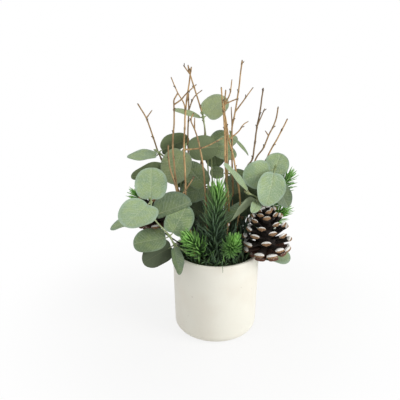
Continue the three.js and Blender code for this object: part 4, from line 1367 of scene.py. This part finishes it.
# %% Pine picks
needle_length = 19 * mm
needle_width = 0.8 * mm
top_shortening = 0.3
pick_radius = 1.1 * mm
root_radius = 0.33 * mm
pick_step = 1.5 * mm
pick_narrowing_share = 0.45
needle_stations = [
    (0, 0, 0.7, 0.6), (0.25, 0, 1, 0.8), (0.6, 0, 0.95, 0.7), (0.9, 0, 0.6, 0.45), (1, 0, 0.12, 0.1),
]
needle = drawn_out(sides=4, stations=needle_stations)
needle_tip = needle.points[:, 0].copy()
needle_ridge_highlight = (needle.points[:, 2] > 0.05).astype(float)
needle_marks = ("tip", "fresh", "ridge")
dice = random.Random(31)


def plant(cluster, root, out, up, size, fresh=0, tip_share=1, ridge_highlight_share=1):
    """Adds a needle at a root. Its size is its length, its width and how far it bends up."""
    length, width, bend = size
    points = needle.points * (length, width, width)
    points[:, 2] += bend * length * needle_tip ** 2
    marks = {"tip": needle_tip * tip_share, "fresh": fresh, "ridge": needle_ridge_highlight * ridge_highlight_share}
    cluster.add(needle, set_at(points, root, out, up), **marks)


for name, pine in pine_shares.items():
    way = way_of(pine["entry"], pine["way"], steps=8)
    points, far = evenly(way, pick_step)
    cluster = Cluster(*needle_marks)
    radii = pick_radius * (1 - pick_narrowing_share * far / far[-1])
    low, high, power = pine["fresh"]
    low_lean, top_lean, closing = pine["lean"]
    start, end = pine["run"]
    cluster.add_runs([(points, radii)], resolution=2, tip=0.5, fresh=0.25 + low * 0.5)
    for number in range(pine["needles"]):
        share = number / (pine["needles"] - 1)
        at = (start + (end - start) * share) * far[-1]
        index = min(int(np.searchsorted(far, at)), len(points) - 1)
        heading = unit(points[index] - points[index - 1])
        lean = math.radians(low_lean + (top_lean - low_lean) * share ** closing + dice.uniform(-8, 8))
        turn = golden_angle * number
        across = unit(np.cross(heading, (math.cos(turn), math.sin(turn), 0.2)))
        out = heading * math.cos(lean) + across * math.sin(lean)
        length = needle_length * pine["reach"] * dice.uniform(0.75, 1.05)
        length *= (1 - top_shortening * share ** 4) * (1 + pine.get("upward", 0) * out[2])
        size = (length, needle_width * dice.uniform(0.8, 1.1), pine["curl"] * dice.uniform(0.5, 1.5))
        fresh = low + (high - low) * share ** power
        fresh = min(1, max(0, fresh + dice.uniform(-0.12, 0.12)))
        plant(cluster, points[index] + across * root_radius, out, heading, size, fresh)
    cluster.build(f"needles_{name}", "needle", f"pine_pick_{name}", finishes=[needle_paint])

# %% [markdown]
# Loose clippings of the same dark plastic lie on the moss and hide where the picks go in. They stand
# taller towards the middle, where an underbrush closes the view between the stems; its needles are
# darker copies with a weaker ridge highlight, which is painted shade deep in the foliage. Those near
# the rim lean inwards, and one lies over it, clear of the glaze.

# %% Clippings
clipping_count = 600
clipping_length = 11 * mm
clipping_width = 0.76 * mm
clipping_reach = 0.97
rim_clearance = 1.2 * mm
underbrush_count = 280
underbrush_height = 50 * mm
underbrush_width = 1.04 * mm
underbrush_reach = 0.85
underbrush_shift = 0.15
root_depth = 0.5 * mm
dice = random.Random(43)
cluster = Cluster(*needle_marks)


def rooted(reach, shift=0):
    """A place in the moss picked at random within the reach."""
    radius = plug_radius * reach * math.sqrt(dice.random())
    angle = dice.uniform(0, 2 * math.pi)
    x, y = radius * math.cos(angle), radius * math.sin(angle) + shift * plug_radius
    return np.array([x, y, moss_height(x, y) - root_depth])


for number in range(clipping_count):
    root = rooted(clipping_reach)
    middle_share = 1 - math.hypot(root[0], root[1]) / plug_radius
    out = direction(dice.uniform(0, 360), dice.uniform(5, 65) + 25 * middle_share)
    length = clipping_length * dice.uniform(0.5, 1.1) * (1 + 1.6 * middle_share)
    tip = root + out * length
    near_rim = math.hypot(tip[0], tip[1]) > plug_radius - rim_clearance
    if near_rim and tip[2] < pot_height + rim_clearance:
        steep = (pot_height + 2 * rim_clearance - root[2]) / length + 0.2
        out = unit(out * (1, 1, 0) * 0.5 + (0, 0, steep))
    size = (length, clipping_width, dice.uniform(-0.1, 0.4))
    fresh = dice.uniform(0, 0.14) if dice.random() < 0.9 else dice.uniform(0.3, 0.6)
    plant(cluster, root, out, (0, 0, 1.01), size, fresh)
for number in range(underbrush_count):
    root = rooted(underbrush_reach, underbrush_shift)
    out = direction(dice.uniform(0, 360), dice.uniform(62, 88))
    size = (underbrush_height * dice.uniform(0.55, 1), underbrush_width, dice.uniform(-0.15, 0.15))
    # painted shade: the underbrush needles are darker copies, with a shorter tip mark and a weaker
    # highlight
    plant(cluster, root, out, (1, 0, 0.01), size, tip_share=0.75, ridge_highlight_share=0.6)
stray_foot_radius = 0.5 * mm
stray_tip_radius = 0.2 * mm
stray_shares = [
    (0.08, -0.80, -0.01), (0.10, -0.92, 0.006), (0.11, -1.01, 0.008), (0.12, -1.04, -0.006),
    (0.12, -1.05, -0.022),
]
stops = [np.array([x * pot_radius, y * pot_radius, pot_height + z * foliage_rise])
         for x, y, z in stray_shares]
way = smooth_way(stops, steps=4)
radii = np.linspace(stray_foot_radius, stray_tip_radius, len(way))
cluster.add_runs([(way, radii)], resolution=1, tip=0.7, fresh=0.1)
cluster.build("moss_clippings", "needle", finishes=[needle_paint])
